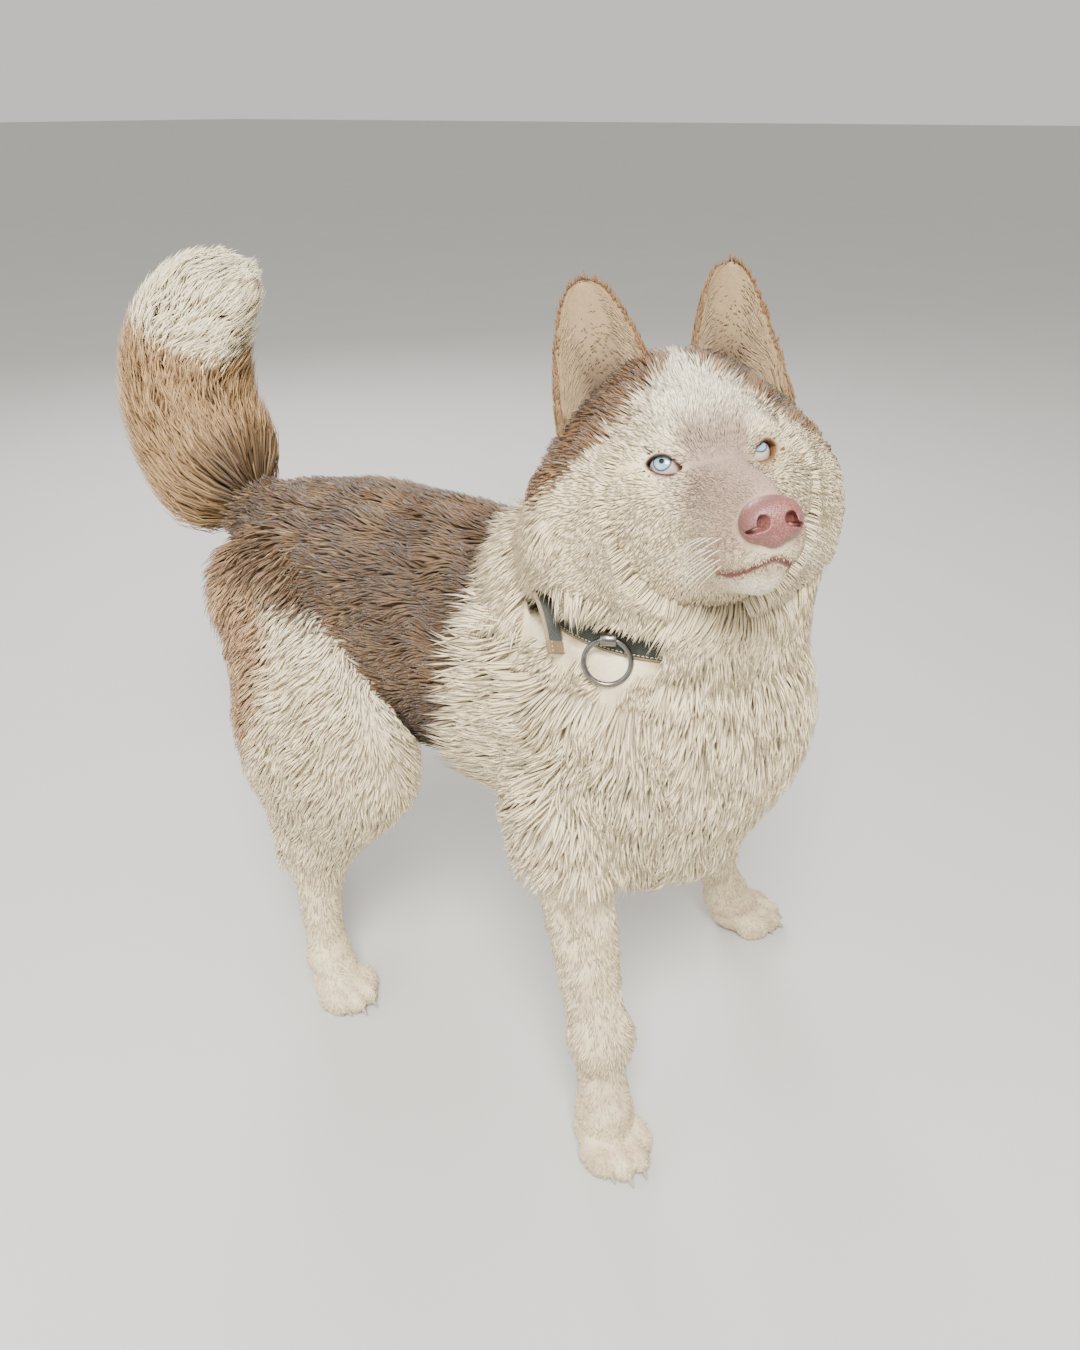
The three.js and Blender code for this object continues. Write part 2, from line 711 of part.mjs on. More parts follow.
function rope(points, radii, sides) {
  const curve = line(...points);
  const steps = points.length;
  const loops = [];
  for (let i = 0; i <= steps; i += 1) {
    const t = i / steps;
    const along = curve.getTangent(t);
    const across = along.clone().cross(v(0.1, 0.2, 1)).normalize();
    const up = across.clone().cross(along);
    const radius = radii(t);
    loops.push(
      Array.from({ length: sides }, (_, k) => {
        const turn = (2 * Math.PI * k) / sides;
        const p = curve.getPoint(t).addScaledVector(across, radius * Math.cos(turn));
        return p.addScaledVector(up, radius * Math.sin(turn));
      }),
    );
  }
  return solid(loft(loops));
}

const lipSide = (s) => [
  onFace(0, -103, -67),
  onFace(9 * s, -98, -69),
  onFace(20 * s, -80, -71),
  onFace(26 * s, -58, -72),
  onFace(32 * s, -36, -70),
  onFace(38 * s, -16, -61),
];
const mouth = rope([...lipSide(-1).reverse(), ...lipSide(1).slice(1)], (t) => 0.9 + 1.2 * Math.sin(Math.PI * t), 4);
const philtrumLine = [onHead(0, -114, -34), onHead(0, -113.5, -42), onHead(0, -108, -52), onFace(0, -103, -67)];
const philtrum = rope(philtrumLine, () => 0.8, 4);

function headLump(place, radii, detail) {
  const g = new THREE.SphereGeometry(1, detail, Math.round(detail * 0.75));
  return solid(g.scale(...radii).translate(...place).applyMatrix4(headTurn));
}
function noseSolid(extra) {
  const lump = (place, radii, detail) => headLump(place, radii.map((r) => r + extra), detail);
  return joined([
    lump([0, -98, -36.5], [17.5, 12.5, 12.5], 8),
    lump([8, -99, -40], [10.5, 11.5, 11], 6),
    lump([-8, -99, -40], [10.5, 11.5, 11], 6),
  ]);
}
function nostril(s) {
  const hole = new THREE.SphereGeometry(1, 6, 4).scale(3.3, 9, 4.4).rotateZ(-0.45 * s).translate(7.6 * s, -110, -38.5);
  const slit = new THREE.SphereGeometry(1, 4, 3).scale(5.8, 6, 1.6).rotateY(0.25 * s).translate(13 * s, -106, -42);
  return joined([solid(hole.applyMatrix4(headTurn)), solid(slit.applyMatrix4(headTurn))]);
}

const lids = pair((s) => sphere(eyeAt(s), (eyeRadius + 2.6) * headScale, 10));
const openings = pair((s) => joined([sphere(eyeAt(s), (eyeRadius + 0.4) * headScale, 10), lidOpening(s)]));
const headWhole = joined([headShape(0), ...lids])
  .intersect(headCut.after)
  .subtract(joined([...openings, mouth, noseSolid(gap), philtrum]));
const headRoom = headShape(gap);

function earSolid(s) {
  const base = onHead(48 * s, 76, 34);
  const tip = onHead(56 * s, 88, 140);
  const up = tip.clone().sub(base).normalize();
  const forward = headDirection(0.2 * s, -1, 0.1).projectOnPlane(up).normalize();
  const outward = up.clone().cross(forward).normalize();
  const rings = 6;
  const half = 6;
  const loops = [];
  for (let i = 0; i <= rings; i += 1) {
    const t = i / rings;
    const width = 40 * Math.sqrt(Math.max(0, 1 - t ** 1.8)) * (1 - 0.1 * t) + 2.2;
    const depth = 25 * (1 - t) ** 0.8 + 2.4;
    const wall = Math.min(5.5 - 3 * t, depth - 1.2);
    const spread = radians(100 - 18 * t);
    const middle = base.clone().lerp(tip, t).addScaledVector(forward, -4 * Math.sin(Math.PI * t));
    const point = (turn, inset) =>
      middle
        .clone()
        .addScaledVector(outward, (width - inset) * Math.sin(turn))
        .addScaledVector(forward, -(depth - inset) * Math.cos(turn) + 6 * (1 - t));
    const loop = [];
    for (let k = 0; k <= half; k += 1) loop.push(point(spread * ((2 * k) / half - 1), 0));
    for (let k = half; k >= 0; k -= 1) loop.push(point(spread * 0.93 * ((2 * k) / half - 1), wall));
    loops.push(loop);
  }
  return solid(loft(loops, true));
}

// Legs and paws

function claw(at, forward, size) {
  const across = forward.clone().cross(v(0, 0, 1)).normalize();
  const loops = [0, 0.5].map((t) => {
    const middle = at.clone().addScaledVector(forward, 13 * t * size).add(v(0, 0, -5 * t * t * size));
    const radius = 3.4 * (1 - 0.7 * t) * size;
    return Array.from({ length: 3 }, (_, k) => {
      const turn = (Math.PI * (2 * k + 0.5)) / 3;
      const p = middle.clone().addScaledVector(across, radius * 0.7 * Math.cos(turn));
      return p.add(v(0, 0, radius * Math.sin(turn)));
    });
  });
  return solid(pointed(loops, at.clone().addScaledVector(forward, 14 * size).add(v(0, 0, -7 * size))));
}

const toes = [[-25, -14, 10], [-9.5, -27, 3], [9.5, -27, -3], [25, -14, -10]];
function pawSolid(limbField, { paw, fetlock, heading }, size) {
  const turn = new THREE.Matrix4().makeRotationZ(radians(heading)).setPosition(paw.x, paw.y, 0);
  const place = (x, y, z) => v(x, y, z).multiplyScalar(size).applyMatrix4(turn);
  const toe = ([x, y, tilt]) => {
    const aim = new THREE.Matrix4().makeRotationZ(radians(heading + tilt));
    return ball(place(x, y, 15), [12.5 * size, 21 * size, 17 * size], aim);
  };
  const heel = ball(place(0, 9, 20), [30 * size, 32 * size, 21 * size], turn);
  const field = blend([blend(toes.map(toe), 1.5), heel, limbField], 3);
  const axis = line(place(0, -2, 8), place(0, 3, 24), fetlock.clone().lerp(paw, -0.3));
  const fan = [-55, -25].map((tilt) => [0, tilt]);
  const stations = [...fan, ...[0, 0.16, 0.34, 0.6, 0.8, 1].map((t) => [t, 0]), [1, 60]];
  const pieces = [sleeve(field, axis, { sides: 17, stations, up: v(0, -1, 0).transformDirection(turn) })];
  for (const [x, y, tilt] of toes) {
    const forward = v(Math.sin(radians(tilt)), -1, 0).transformDirection(turn);
    pieces.push(claw(place(x, y, 13).addScaledVector(forward, 16 * size), forward, size));
  }
  return joined(pieces);
}

// Every long-coated part. Its locks lie over the parts that follow it here, and all of them keep clear
// of the other parts' cores.

const coated = [
  {
    name: 'head',
    look: 'white',
    core: headWhole.intersect(muzzleCut.before),
    room: headRoom.intersect(headCut.wideAfter),
    locks: grow(whole, ruffRows, 11),
  },
  {
    name: 'neck',
    look: 'white',
    core: neckCore.intersect(headCut.before),
    room: neckRoom.intersect(headCut.wideBefore).intersect(chestCut.wideBefore),
    locks: grow(whole, neckRows, 23),
  },
  {
    name: 'chest',
    look: 'white',
    core: torsoCore.intersect(chestCut.before).intersect(neckCut.before),
    room: torsoRoom.intersect(chestCut.wideBefore).intersect(neckCut.wideBefore),
    locks: grow(whole, chestRows, 37),
  },
  {
    name: 'barrel',
    look: 'saddle',
    core: torsoCore.intersect(chestCut.after).intersect(loinCut.before),
    room: torsoRoom.intersect(chestCut.wideAfter).intersect(loinCut.wideBefore),
  },
];

for (const [name, s] of Object.entries(side)) {
  const hind = hindleg[name];
  const thighField = legField[`thigh_${name}`];
  const thighLine = line(hind.hip, hind.stifle, hind.hock);
  const shape = { sides: 16, stations: stationsOf(6, 2), up: v(0, 1, 0) };
  const hockCut = cut(hind.hock.clone().lerp(hind.stifle, 0.1), v(0, 0.1, -1));
  const kneeCut = cut(hind.stifle, hind.hock.clone().sub(hind.hip));
  const thigh = sleeve(thighField, thighLine, shape).intersect(hockCut.before).subtract(torsoRoom);
  const room = sleeve(thighField, thighLine, { ...shape, level: gap });
  const back = (turn) => v(s * Math.sin(turn), Math.cos(turn), 0);
  const breech = (z, from, count) => ({
    ...{ from, turns: [-46, 62], count, length: 54, width: 42, height: 15, thick: 9 },
    ...{ ray: back, lie: () => v(0, 0.25, -1), z },
  });
  const along = (t) => thighLine.getPoint(t);
  coated.push({
    name: `thigh_${name}`,
    look: 'tan',
    core: thigh.intersect(kneeCut.before),
    room: room.intersect(kneeCut.wideBefore),
    locks: grow(thighField, [0.1, 0.31].map((t) => breech(0, along(t), 3)), 51 + s),
  });
  coated.push({
    name: `gaskin_${name}`,
    look: 'tan',
    core: thigh.intersect(kneeCut.after),
    room: room.intersect(kneeCut.wideAfter).intersect(hockCut.wideBefore),
    locks: grow(thighField, [0.52, 0.66].map((t) => breech(0, along(t), 2)), 61 + s),
  });
}

coated.push({
  name: 'rump',
  look: 'saddle',
  core: torsoCore.intersect(loinCut.after).intersect(rumpCut.before),
  room: torsoRoom.intersect(loinCut.wideAfter).intersect(rumpCut.wideBefore),
});
const tailParts = [
  ['tail_root', rumpCut.after, tailMiddleCut.before, rumpCut.wideAfter, tailMiddleCut.wideBefore, 0.14, 0.4, 2],
  ['tail_middle', tailMiddleCut.after, tailTipCut.before, tailMiddleCut.wideAfter, tailTipCut.wideBefore, 0.4, 0.7, 3],
  ['tail_tip', tailTipCut.after, null, tailTipCut.wideAfter, null, 0.7, 1, 3],
];
tailParts.forEach(([name, after, before, wideAfter, wideBefore, start, end, rows], i) => {
  const core = tailWhole.intersect(after);
  const room = tailRoom.intersect(wideAfter);
  coated.push({
    name,
    look: i === 0 ? 'tan' : 'white',
    core: (before ? core.intersect(before) : core).subtract(torsoRoom),
    room: before ? room.intersect(wideBefore) : room,
    locks: grow(tailField, tailRows(start, end, rows), 72 + i),
  });
});

const parts = new Map();
const looks = {
  white: [0xe4ddcd, 0.95],
  saddle: [0x6b5644, 0.95],
  tan: [0xb59a7c, 0.95],
  leather: [0xb0807c, 0.45],
  iris: [0xa9c3d6, 0.15],
  webbing: [0x3a4036, 0.85],
  steel: [0x9a9da1, 0.3],
};

coated.forEach((one, i) => {
  let body = one.core;
  if (one.locks) {
    const others = joined(coated.filter((other) => other !== one).map((other) => other.room));
    body = body.add(one.locks.body.subtract(others));
  }
  const over = coated.slice(0, i).filter((other) => other.locks).map((other) => other.locks.room);
  if (over.length) body = body.subtract(joined(over));
  if (['head', 'neck', 'chest'].includes(one.name)) body = body.subtract(collarRoom);
  parts.set(one.name, [body, one.look]);
});

const allLocks = joined(coated.filter((one) => one.locks).map((one) => one.locks.room));
const ruffRoom = coated[0].locks.room;
parts.set('muzzle', [headWhole.intersect(muzzleCut.after).subtract(ruffRoom), 'white']);
parts.set('nose', [noseSolid(0).subtract(joined([nostril(-1), nostril(1), philtrum])), 'leather']);
for (const [name, s] of Object.entries(side)) {
  parts.set(`ear_${name}`, [earSolid(s).subtract(headRoom).subtract(allLocks), 'tan']);
  parts.set(`eye_${name}`, [sphere(eyeAt(s), eyeRadius * headScale, 10), 'iris']);
}
parts.set('collar_strap', [strap, 'webbing']);
parts.set('collar_tab', [tabSolid(0).subtract(strapRoom), 'webbing']);
parts.set('collar_ring', [ringSolid, 'steel']);
parts.set('ring_keeper', [keeperSolid().subtract(strapRoom), 'steel']);

for (const name of Object.keys(side)) {
  const front = foreleg[name];
  const hind = hindleg[name];
  const leg = { sides: 12, stations: stationsOf(7, 1), up: v(0, 1, 0) };
  const frontLine = line(front.elbow.clone().add(v(0, 6, 30)), front.elbow, front.wrist, front.fetlock, front.paw);
  const frontLeg = sleeve(legField[`front_${name}`], frontLine, leg);
  const ankle = cut(front.fetlock, front.paw.clone().sub(front.fetlock));
  parts.set(`foreleg_${name}`, [
    frontLeg.intersect(ankle.before).subtract(torsoRoom).subtract(allLocks),
    'white',
  ]);
  const paw = pawSolid(legField[`front_${name}`], front, 0.95);
  parts.set(`forepaw_${name}`, [paw.intersect(ankle.after).intersect(floor), 'white']);

  const hockCut = cut(hind.hock.clone().lerp(hind.stifle, 0.1), v(0, 0.1, -1));
  const hindAnkle = cut(hind.fetlock, hind.paw.clone().sub(hind.fetlock));
  const shankLine = line(hind.stifle.clone().lerp(hind.hock, 0.8), hind.hock, hind.fetlock, hind.paw);
  const shank = sleeve(legField[`shank_${name}`], shankLine, { ...leg, stations: stationsOf(6, 1) });
  parts.set(`hock_${name}`, [
    shank.intersect(hockCut.after).intersect(hindAnkle.before).subtract(allLocks),
    'white',
  ]);
  const hindPaw = pawSolid(legField[`shank_${name}`], hind, 0.9);
  parts.set(`hindpaw_${name}`, [hindPaw.intersect(hindAnkle.after).intersect(floor), 'white']);
}

// The group that holds it all, moved over the middle of its footprint

const group = new THREE.Group();
for (const [name, [body, look]] of parts) {
  const [color, roughness] = looks[look];
  const material = new THREE.MeshStandardMaterial({ color, roughness, metalness: look === 'steel' ? 1 : 0 });
  const mesh = new THREE.Mesh(geometryOf(largest(body)), material);
  mesh.name = name;
  group.add(mesh);
}
const footprint = new THREE.Box3().setFromObject(group).getCenter(v(0, 0, 0));
group.position.set(-footprint.x, -footprint.y, 0);
export default group;
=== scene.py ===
# %% [markdown]
# # A standing husky, dressed in fur
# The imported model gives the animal's form as plain solids with a few broad locks. This lesson dresses
# it for a picture: one smooth skin, a face with lids, lips and nose, and a coat of many thin tufts.
# Everything is worked out in millimetres on the dog's own axes, then moved onto the frame's axes.

# %% The frame and its box
import math

import bpy
import numpy as np
import openvdb
from mathutils import Matrix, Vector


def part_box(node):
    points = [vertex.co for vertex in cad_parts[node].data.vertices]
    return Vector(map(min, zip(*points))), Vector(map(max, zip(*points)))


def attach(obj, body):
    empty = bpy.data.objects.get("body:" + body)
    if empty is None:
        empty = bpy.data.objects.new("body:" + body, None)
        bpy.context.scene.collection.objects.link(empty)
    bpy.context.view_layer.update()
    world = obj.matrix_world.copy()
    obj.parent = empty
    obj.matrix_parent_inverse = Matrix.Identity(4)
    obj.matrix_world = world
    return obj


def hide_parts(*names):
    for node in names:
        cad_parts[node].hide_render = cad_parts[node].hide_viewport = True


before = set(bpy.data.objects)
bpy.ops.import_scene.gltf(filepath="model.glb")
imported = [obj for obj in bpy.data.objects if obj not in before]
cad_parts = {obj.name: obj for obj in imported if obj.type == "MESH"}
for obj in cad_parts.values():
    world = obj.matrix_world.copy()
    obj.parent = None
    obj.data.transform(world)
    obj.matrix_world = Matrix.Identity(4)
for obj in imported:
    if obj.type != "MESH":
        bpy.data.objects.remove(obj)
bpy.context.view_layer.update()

# %% [markdown]
# ## The dog's own axes
# The body faces -Y. The head has axes of its own, turned to the dog's right and nose up: x to its left,
# y backwards and z up from a point between the eyes. The right eyeball's box tells where the packed
# model has been moved to, so nothing here has to be measured twice.


# %% Axes of body and head
def turned(axis, degrees):
    c, s = math.cos(math.radians(degrees)), math.sin(math.radians(degrees))
    return {
        "x": np.array([[1, 0, 0], [0, c, -s], [0, s, c]]),
        "y": np.array([[c, 0, s], [0, 1, 0], [-s, 0, c]]),
        "z": np.array([[c, -s, 0], [s, c, 0], [0, 0, 1]]),
    }[axis]


HEAD_SCALE = 1.034
HEAD_TURN = turned("z", -52.5) @ turned("x", -20) @ turned("y", -5.7)
EYES_MIDDLE = np.array([-62.0, -65.0, 657.0])


def point(*xyz):
    return np.array(xyz, float)


def unit(rows):
    rows = np.asarray(rows, float)
    return rows / np.maximum(np.linalg.norm(rows, axis=-1, keepdims=True), 1e-9)


def on_head(*xyz):
    return EYES_MIDDLE + HEAD_SCALE * (HEAD_TURN @ point(*xyz))


def head_direction(*xyz):
    return unit(HEAD_TURN @ point(*xyz))


def from_head(rows):
    """Head coordinates of points on the body's axes."""
    return (rows - EYES_MIDDLE) @ HEAD_TURN / HEAD_SCALE


eye_low, eye_high = (np.array(corner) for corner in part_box("eye_right"))
SHIFT = 500 * (eye_low + eye_high) - on_head(-30, 8, 0)
print("the dog's axes start at", np.round(SHIFT, 2), "mm")

# %% [markdown]
# ## The camera
# It stands a little above the dog's head, to its front right, and looks down at it by 30 degrees with a
# fairly wide lens. A camera looks along its own -Z, so its axes are laid out as columns of a matrix.

# %% Camera
FOCAL, FRAME_MIDDLE = 995.4, (540, 675)
CAMERA_AT = point(-700.6, -295.9, 869.3)
CAMERA_RIGHT = point(0.5, -0.866, 0)
CAMERA_UP = point(0.4304, 0.2485, 0.868)
lens = bpy.data.cameras.new("camera")
lens.sensor_fit = "VERTICAL"
lens.sensor_height = 36
lens.lens = 26.54
camera = bpy.data.objects.new("camera", lens)
bpy.context.collection.objects.link(camera)
axes = np.eye(4)
axes[:3, 0] = unit(CAMERA_RIGHT)
axes[:3, 1] = unit(CAMERA_UP)
axes[:3, 2] = np.cross(axes[:3, 0], axes[:3, 1])
axes[:3, 3] = (CAMERA_AT + SHIFT) / 1000
camera.matrix_world = Matrix(axes.tolist())
bpy.context.scene.camera = camera


def towards(px, py):
    """The direction in which the camera sees a place of its 1080 x 1350 frame."""
    right, down = (px - FRAME_MIDDLE[0]) / FOCAL, (py - FRAME_MIDDLE[1]) / FOCAL
    return unit(-axes[:3, 2] + right * axes[:3, 0] - down * axes[:3, 1])


# %% [markdown]
# ## Meshes from arrays
# Fur means many points, so meshes are filled from numpy arrays in one go. Each piece is closed, sits at
# the origin, and may carry a colour for each point and a number that grows from root to tip.


# %% A mesh from arrays
def mesh_object(name, points, faces, colours=None, tips=None, uv=None):
    """faces is an array of rows with 3 or 4 corners. points are in millimetres on the dog's axes."""
    faces = np.asarray(faces, np.int32)
    corners = faces.shape[1]
    mesh = bpy.data.meshes.new(name)
    mesh.vertices.add(len(points))
    mesh.vertices.foreach_set("co", ((points + SHIFT) / 1000).astype(np.float32).ravel())
    mesh.loops.add(faces.size)
    mesh.loops.foreach_set("vertex_index", faces.ravel())
    mesh.polygons.add(len(faces))
    mesh.polygons.foreach_set("loop_start", np.arange(0, faces.size, corners, dtype=np.int32))
    mesh.update(calc_edges=True)
    mesh.polygons.foreach_set("use_smooth", np.full(len(faces), True))
    if colours is not None:
        rgba = np.ones((len(points), 4), np.float32)
        rgba[:, :3] = colours
        mesh.attributes.new("Hue", "FLOAT_COLOR", "POINT").data.foreach_set("color", rgba.ravel())
    if tips is not None:
        values = np.asarray(tips, np.float32)
        mesh.attributes.new("Tip", "FLOAT", "POINT").data.foreach_set("value", values)
    if uv is not None:
        for label, rows in uv.items():
            layer = mesh.uv_layers.new(name=label)
            layer.data.foreach_set("uv", rows[faces.ravel()].astype(np.float32).ravel())
    made = bpy.data.objects.new(name, mesh)
    bpy.context.collection.objects.link(made)
    return made


def skin_of_loops(loops, closed=False, strip=False):
    """Triangles over loops of points, with fans or strips over open ends."""
    rings, sides, _ = loops.shape
    points = loops.reshape(-1, 3)
    ring, k = np.meshgrid(np.arange(rings if closed else rings - 1), np.arange(sides), indexing="ij")
    a, b = ring * sides + k, ring * sides + (k + 1) % sides
    c, d = ((ring + 1) % rings) * sides + (k + 1) % sides, ((ring + 1) % rings) * sides + k
    faces = [np.stack([a, b, c], -1).reshape(-1, 3), np.stack([a, c, d], -1).reshape(-1, 3)]
    last = (rings - 1) * sides
    if strip:
        k = np.arange(sides // 2 - 1)
        a, b, c, d = k, k + 1, sides - 2 - k, sides - 1 - k
        faces += [np.stack([b, a, c], -1), np.stack([c, a, d], -1)]
        faces += [last + np.stack([a, b, c], -1), last + np.stack([a, c, d], -1)]
    elif not closed:
        points = np.vstack([points, loops[0].mean(0), loops[-1].mean(0)])
        k = np.arange(sides)
        faces.append(np.stack([(k + 1) % sides, k, np.full(sides, rings * sides)], -1))
        faces.append(np.stack([last + k, last + (k + 1) % sides, np.full(sides, rings * sides + 1)], -1))
    return outward(points, np.vstack(faces))


def outward(points, faces):
    """The same faces, turned round if they point inwards."""
    a, b, c = (points[faces[:, i]] for i in range(3))
    volume = np.einsum("ij,ij->i", a, np.cross(b, c)).sum()
    return points, faces if volume > 0 else faces[:, ::-1]


def several(pieces):
    """Points and faces of several shapes in one."""
    points, faces, start = [], [], 0
    for p, f in pieces:
        points.append(p)
        faces.append(f + start)
        start += len(p)
    return np.vstack(points), np.vstack(faces)


# %% [markdown]
# ## The form as distances
# A field tells how far a point lies from a surface, below zero inside. Balls and tapering limbs stand
# for bones and muscles, and a soft minimum melts them together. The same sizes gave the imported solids,
# so skin and fur fit them from every side.


# %% Balls, limbs and blends
def ball(centre, radii, turn=None):
    radii = np.array(radii, float)

    def field(rows):
        q = rows - centre
        if turn is not None:
            q = q @ turn
        near = np.linalg.norm(q / radii, axis=1)
        steep = np.maximum(np.linalg.norm(q / radii**2, axis=1), 1e-9)
        return near * (near - 1) / steep

    return field


def limb(start, end, start_radius, end_radius, flat=1.0, across=(1, 0, 0)):
    along = end - start
    across = np.array(across, float)

    def field(rows):
        q = rows - start
        t = np.clip(q @ along / (along @ along), 0, 1)
        off = q - t[:, None] * along
        sideways = off @ across
        off = off + (sideways / flat - sideways)[:, None] * across
        length = np.linalg.norm(off, axis=1)
        d = length - (start_radius + (end_radius - start_radius) * t)
        if flat == 1:
            return d
        return d * (1 + (flat - 1) * np.abs(sideways / flat) / (length + 1))

    return field


def soft_min(distances, softness):
    """The least of several distances, rounded off where two of them are close."""
    total = sum(np.exp(-np.clip(d / softness, -60, 60)) for d in distances)
    return -softness * np.log(total)


def blend(pieces, softness):
    return lambda rows: soft_min((piece(rows) for piece in pieces), softness)


def pair(make):
    return [make(-1), make(1)]


def ease(low, high, value):
    t = np.clip((value - low) / (high - low), 0, 1)
    return t * t * (3 - 2 * t)


# %% [markdown]
# ## Torso, neck and head
# The torso is deep in the chest and drawn up behind it. The face is a wedge: two limbs for bridge and
# jaw, balls for lips, brows and cheeks, and behind them the broad back of the skull.

# %% Fields of torso, neck and face
neck_base, throat, skull_base = point(0, 0, 470), point(3, -12, 565), on_head(0, 62, -28)
neck_root = limb(neck_base, throat, 102, 92)
neck_top = limb(throat, skull_base, 92, 86)
torso = blend(
    [
        ball(point(0, 45, 425), [104, 178, 138]),
        ball(point(0, 190, 434), [101, 165, 128]),
        ball(point(0, 285, 464), [88, 115, 99]),
        ball(point(0, 362, 460), [92, 90, 88]),
        ball(point(0, 60, 520), [58, 70, 48]),
        ball(point(0, -50, 415), [82, 70, 103]),
        ball(point(0, -15, 318), [82, 76, 64]),
        *pair(lambda s: ball(point(58 * s, -8, 402), [54, 84, 108])),
        limb(point(0, 395, 492), point(0, 440, 506), 40, 34),
        neck_root,
    ],
    12,
)


def head_ball(x, y, z, *radii):
    return ball(on_head(x, y, z), np.array(radii) * HEAD_SCALE, HEAD_TURN)


def head_limb(start, end, a, b):
    return limb(on_head(*start), on_head(*end), a * HEAD_SCALE, b * HEAD_SCALE)


back_of_head = [
    head_ball(0, 86, -14, 80, 56, 68),
    head_ball(0, 58, -60, 66, 56, 42),
    *pair(lambda s: head_ball(60 * s, 78, -38, 44, 44, 52)),
    neck_top,
]
neck = blend([neck_root, ball(point(0, -14, 512), [94, 98, 56]), *back_of_head], 12)
face = blend(
    [
        *back_of_head,
        head_ball(0, 74, 13, 59, 64, 61),
        *pair(lambda s: head_ball(24 * s, 14, 14, 19, 19, 13)),
        *pair(lambda s: head_ball(42 * s, 40, -22, 32, 40, 34)),
        head_limb((0, -4, -10), (0, -82, -29), 17, 13.5),
        head_limb((0, 6, -33), (0, -80, -45), 33, 22.5),
        *pair(lambda s: head_ball(14 * s, -62, -50, 13, 30, 18)),
        head_limb((0, 30, -58), (0, -66, -70), 31, 15),
    ],
    6,
)

# %% [markdown]
# ## Legs, paws and tail
# Each leg is a chain from joint to joint. A paw is a heel pad with four toes, and the toes keep hard
# creases between them, so they are blended with a small softness. The tail is a curve with a thick core.

# %% Fields of the legs, paws and tail
FORELEG = {
    "right": [point(-106, 18, 318), point(-128, -28, 128), point(-136, -40, 52), point(-142, -50, 20), -28],
    "left": [point(100, 14, 318), point(166, -18, 128), point(196, -36, 52), point(210, -54, 20), 22],
}
HINDLEG = {
    "right": [
        point(-60, 352, 442),
        point(-104, 292, 325),
        point(-98, 336, 172),
        point(-114, 316, 50),
        point(-121, 294, 19),
        -10,
    ],
    "left": [
        point(60, 372, 442),
        point(98, 358, 322),
        point(88, 492, 178),
        point(84, 506, 50),
        point(84, 490, 19),
        4,
    ],
}
TOES = [(-25, -14, 10), (-9.5, -27, 3), (9.5, -27, -3), (25, -14, -10)]


def paw_field(at, heading, size, leg):
    turn = turned("z", heading)

    def place(x, y, z):
        return point(at[0], at[1], 0) + size * (turn @ point(x, y, z))

    def toe(x, y, tilt):
        radii = size * point(12.5, 21, 17)
        return ball(place(x, y, 15), radii, turned("z", heading + tilt))

    heel = ball(place(0, 9, 20), size * point(30, 32, 21), turn)
    field = blend([blend([toe(*one) for one in TOES], 1.5), heel, leg], 3)
    field.place, field.size, field.turn = place, size, turn
    return field


legs, thighs, paws = {}, {}, {}
for name, (elbow, wrist, fetlock, paw, heading) in FORELEG.items():
    leg = blend(
        [
            limb(elbow + point(0, 8, 40), elbow, 46, 41),
            limb(elbow, wrist, 39, 27),
            limb(wrist, fetlock, 27, 25),
            ball(wrist + point(0, -5, 0), [29, 27, 26]),
            limb(fetlock, paw, 26, 20),
        ],
        6,
    )
    legs["fore_" + name] = leg
    paws["fore_" + name] = paw_field(paw, heading, 0.95, leg)
for name, (hip, stifle, hock, fetlock, paw, heading) in HINDLEG.items():
    thighs[name] = blend([limb(hip, stifle, 86, 98, 0.58), limb(stifle, hock, 98, 44, 0.6)], 10)
    leg = blend(
        [
            limb(hock, fetlock, 26, 23),
            ball(hock + point(0, 18, 4), [17, 18, 24]),
            limb(stifle + 0.8 * (hock - stifle), hock, 38, 26),
            limb(fetlock, paw, 24, 19),
        ],
        5,
    )
    legs["hind_" + name] = leg
    paws["hind_" + name] = paw_field(paw, heading, 0.9, leg)

TAIL_KNOTS = np.array(
    [
        [0, 408, 500],
        [0, 452, 512],
        [-2, 492, 548],
        [-4, 514, 604],
        [-5, 508, 655],
        [-5, 486, 694],
        [-3, 454, 719],
        [-2, 424, 734],
    ],
    float,
)


def through(knots, count):
    """A smooth curve through knots, as count points."""
    before, after = 2 * knots[0] - knots[1], 2 * knots[-1] - knots[-2]
    k = np.vstack([before, knots, after])
    t = np.linspace(0, len(knots) - 1 - 1e-9, count)
    i, u = t.astype(int), (t % 1)[:, None]
    a, b, c, d = k[i], k[i + 1], k[i + 2], k[i + 3]
    return 0.5 * (2 * b + (c - a) * u + (2 * a - 5 * b + 4 * c - d) * u**2 + (3 * b - a - 3 * c + d) * u**3)


TAIL_STEPS = 28
tail_curve = through(TAIL_KNOTS, TAIL_STEPS + 1)


def tail_core(t):
    return 3 + 28 * math.sqrt(max(0, 1 - t**3))


tail_bones = []
for i in range(TAIL_STEPS):
    thick, thin = tail_core(i / TAIL_STEPS), tail_core((i + 1) / TAIL_STEPS)
    tail_bones.append(limb(tail_curve[i], tail_curve[i + 1], thick, thin))
tail_end = unit(tail_curve[-1] - tail_curve[-2])
tail_bones.append(limb(tail_curve[-1], tail_curve[-1] + 80 * tail_end, 3, 1))
tail = blend(tail_bones, 3)


def tail_place(rows):
    """How far along the tail's curve each point lies, from 0 to 1, and the curve's direction there."""
    nearest = np.argmin(((rows[:, None] - tail_curve[None]) ** 2).sum(2), 1)
    step = np.gradient(tail_curve, axis=0)
    return nearest / TAIL_STEPS, unit(step[nearest])


# %% [markdown]
# ## Room for the collar
# The strap lies in a channel round the neck and the ring in a shallow dip. A window before them keeps long
# hair from hiding the ring and the strap's loose end.


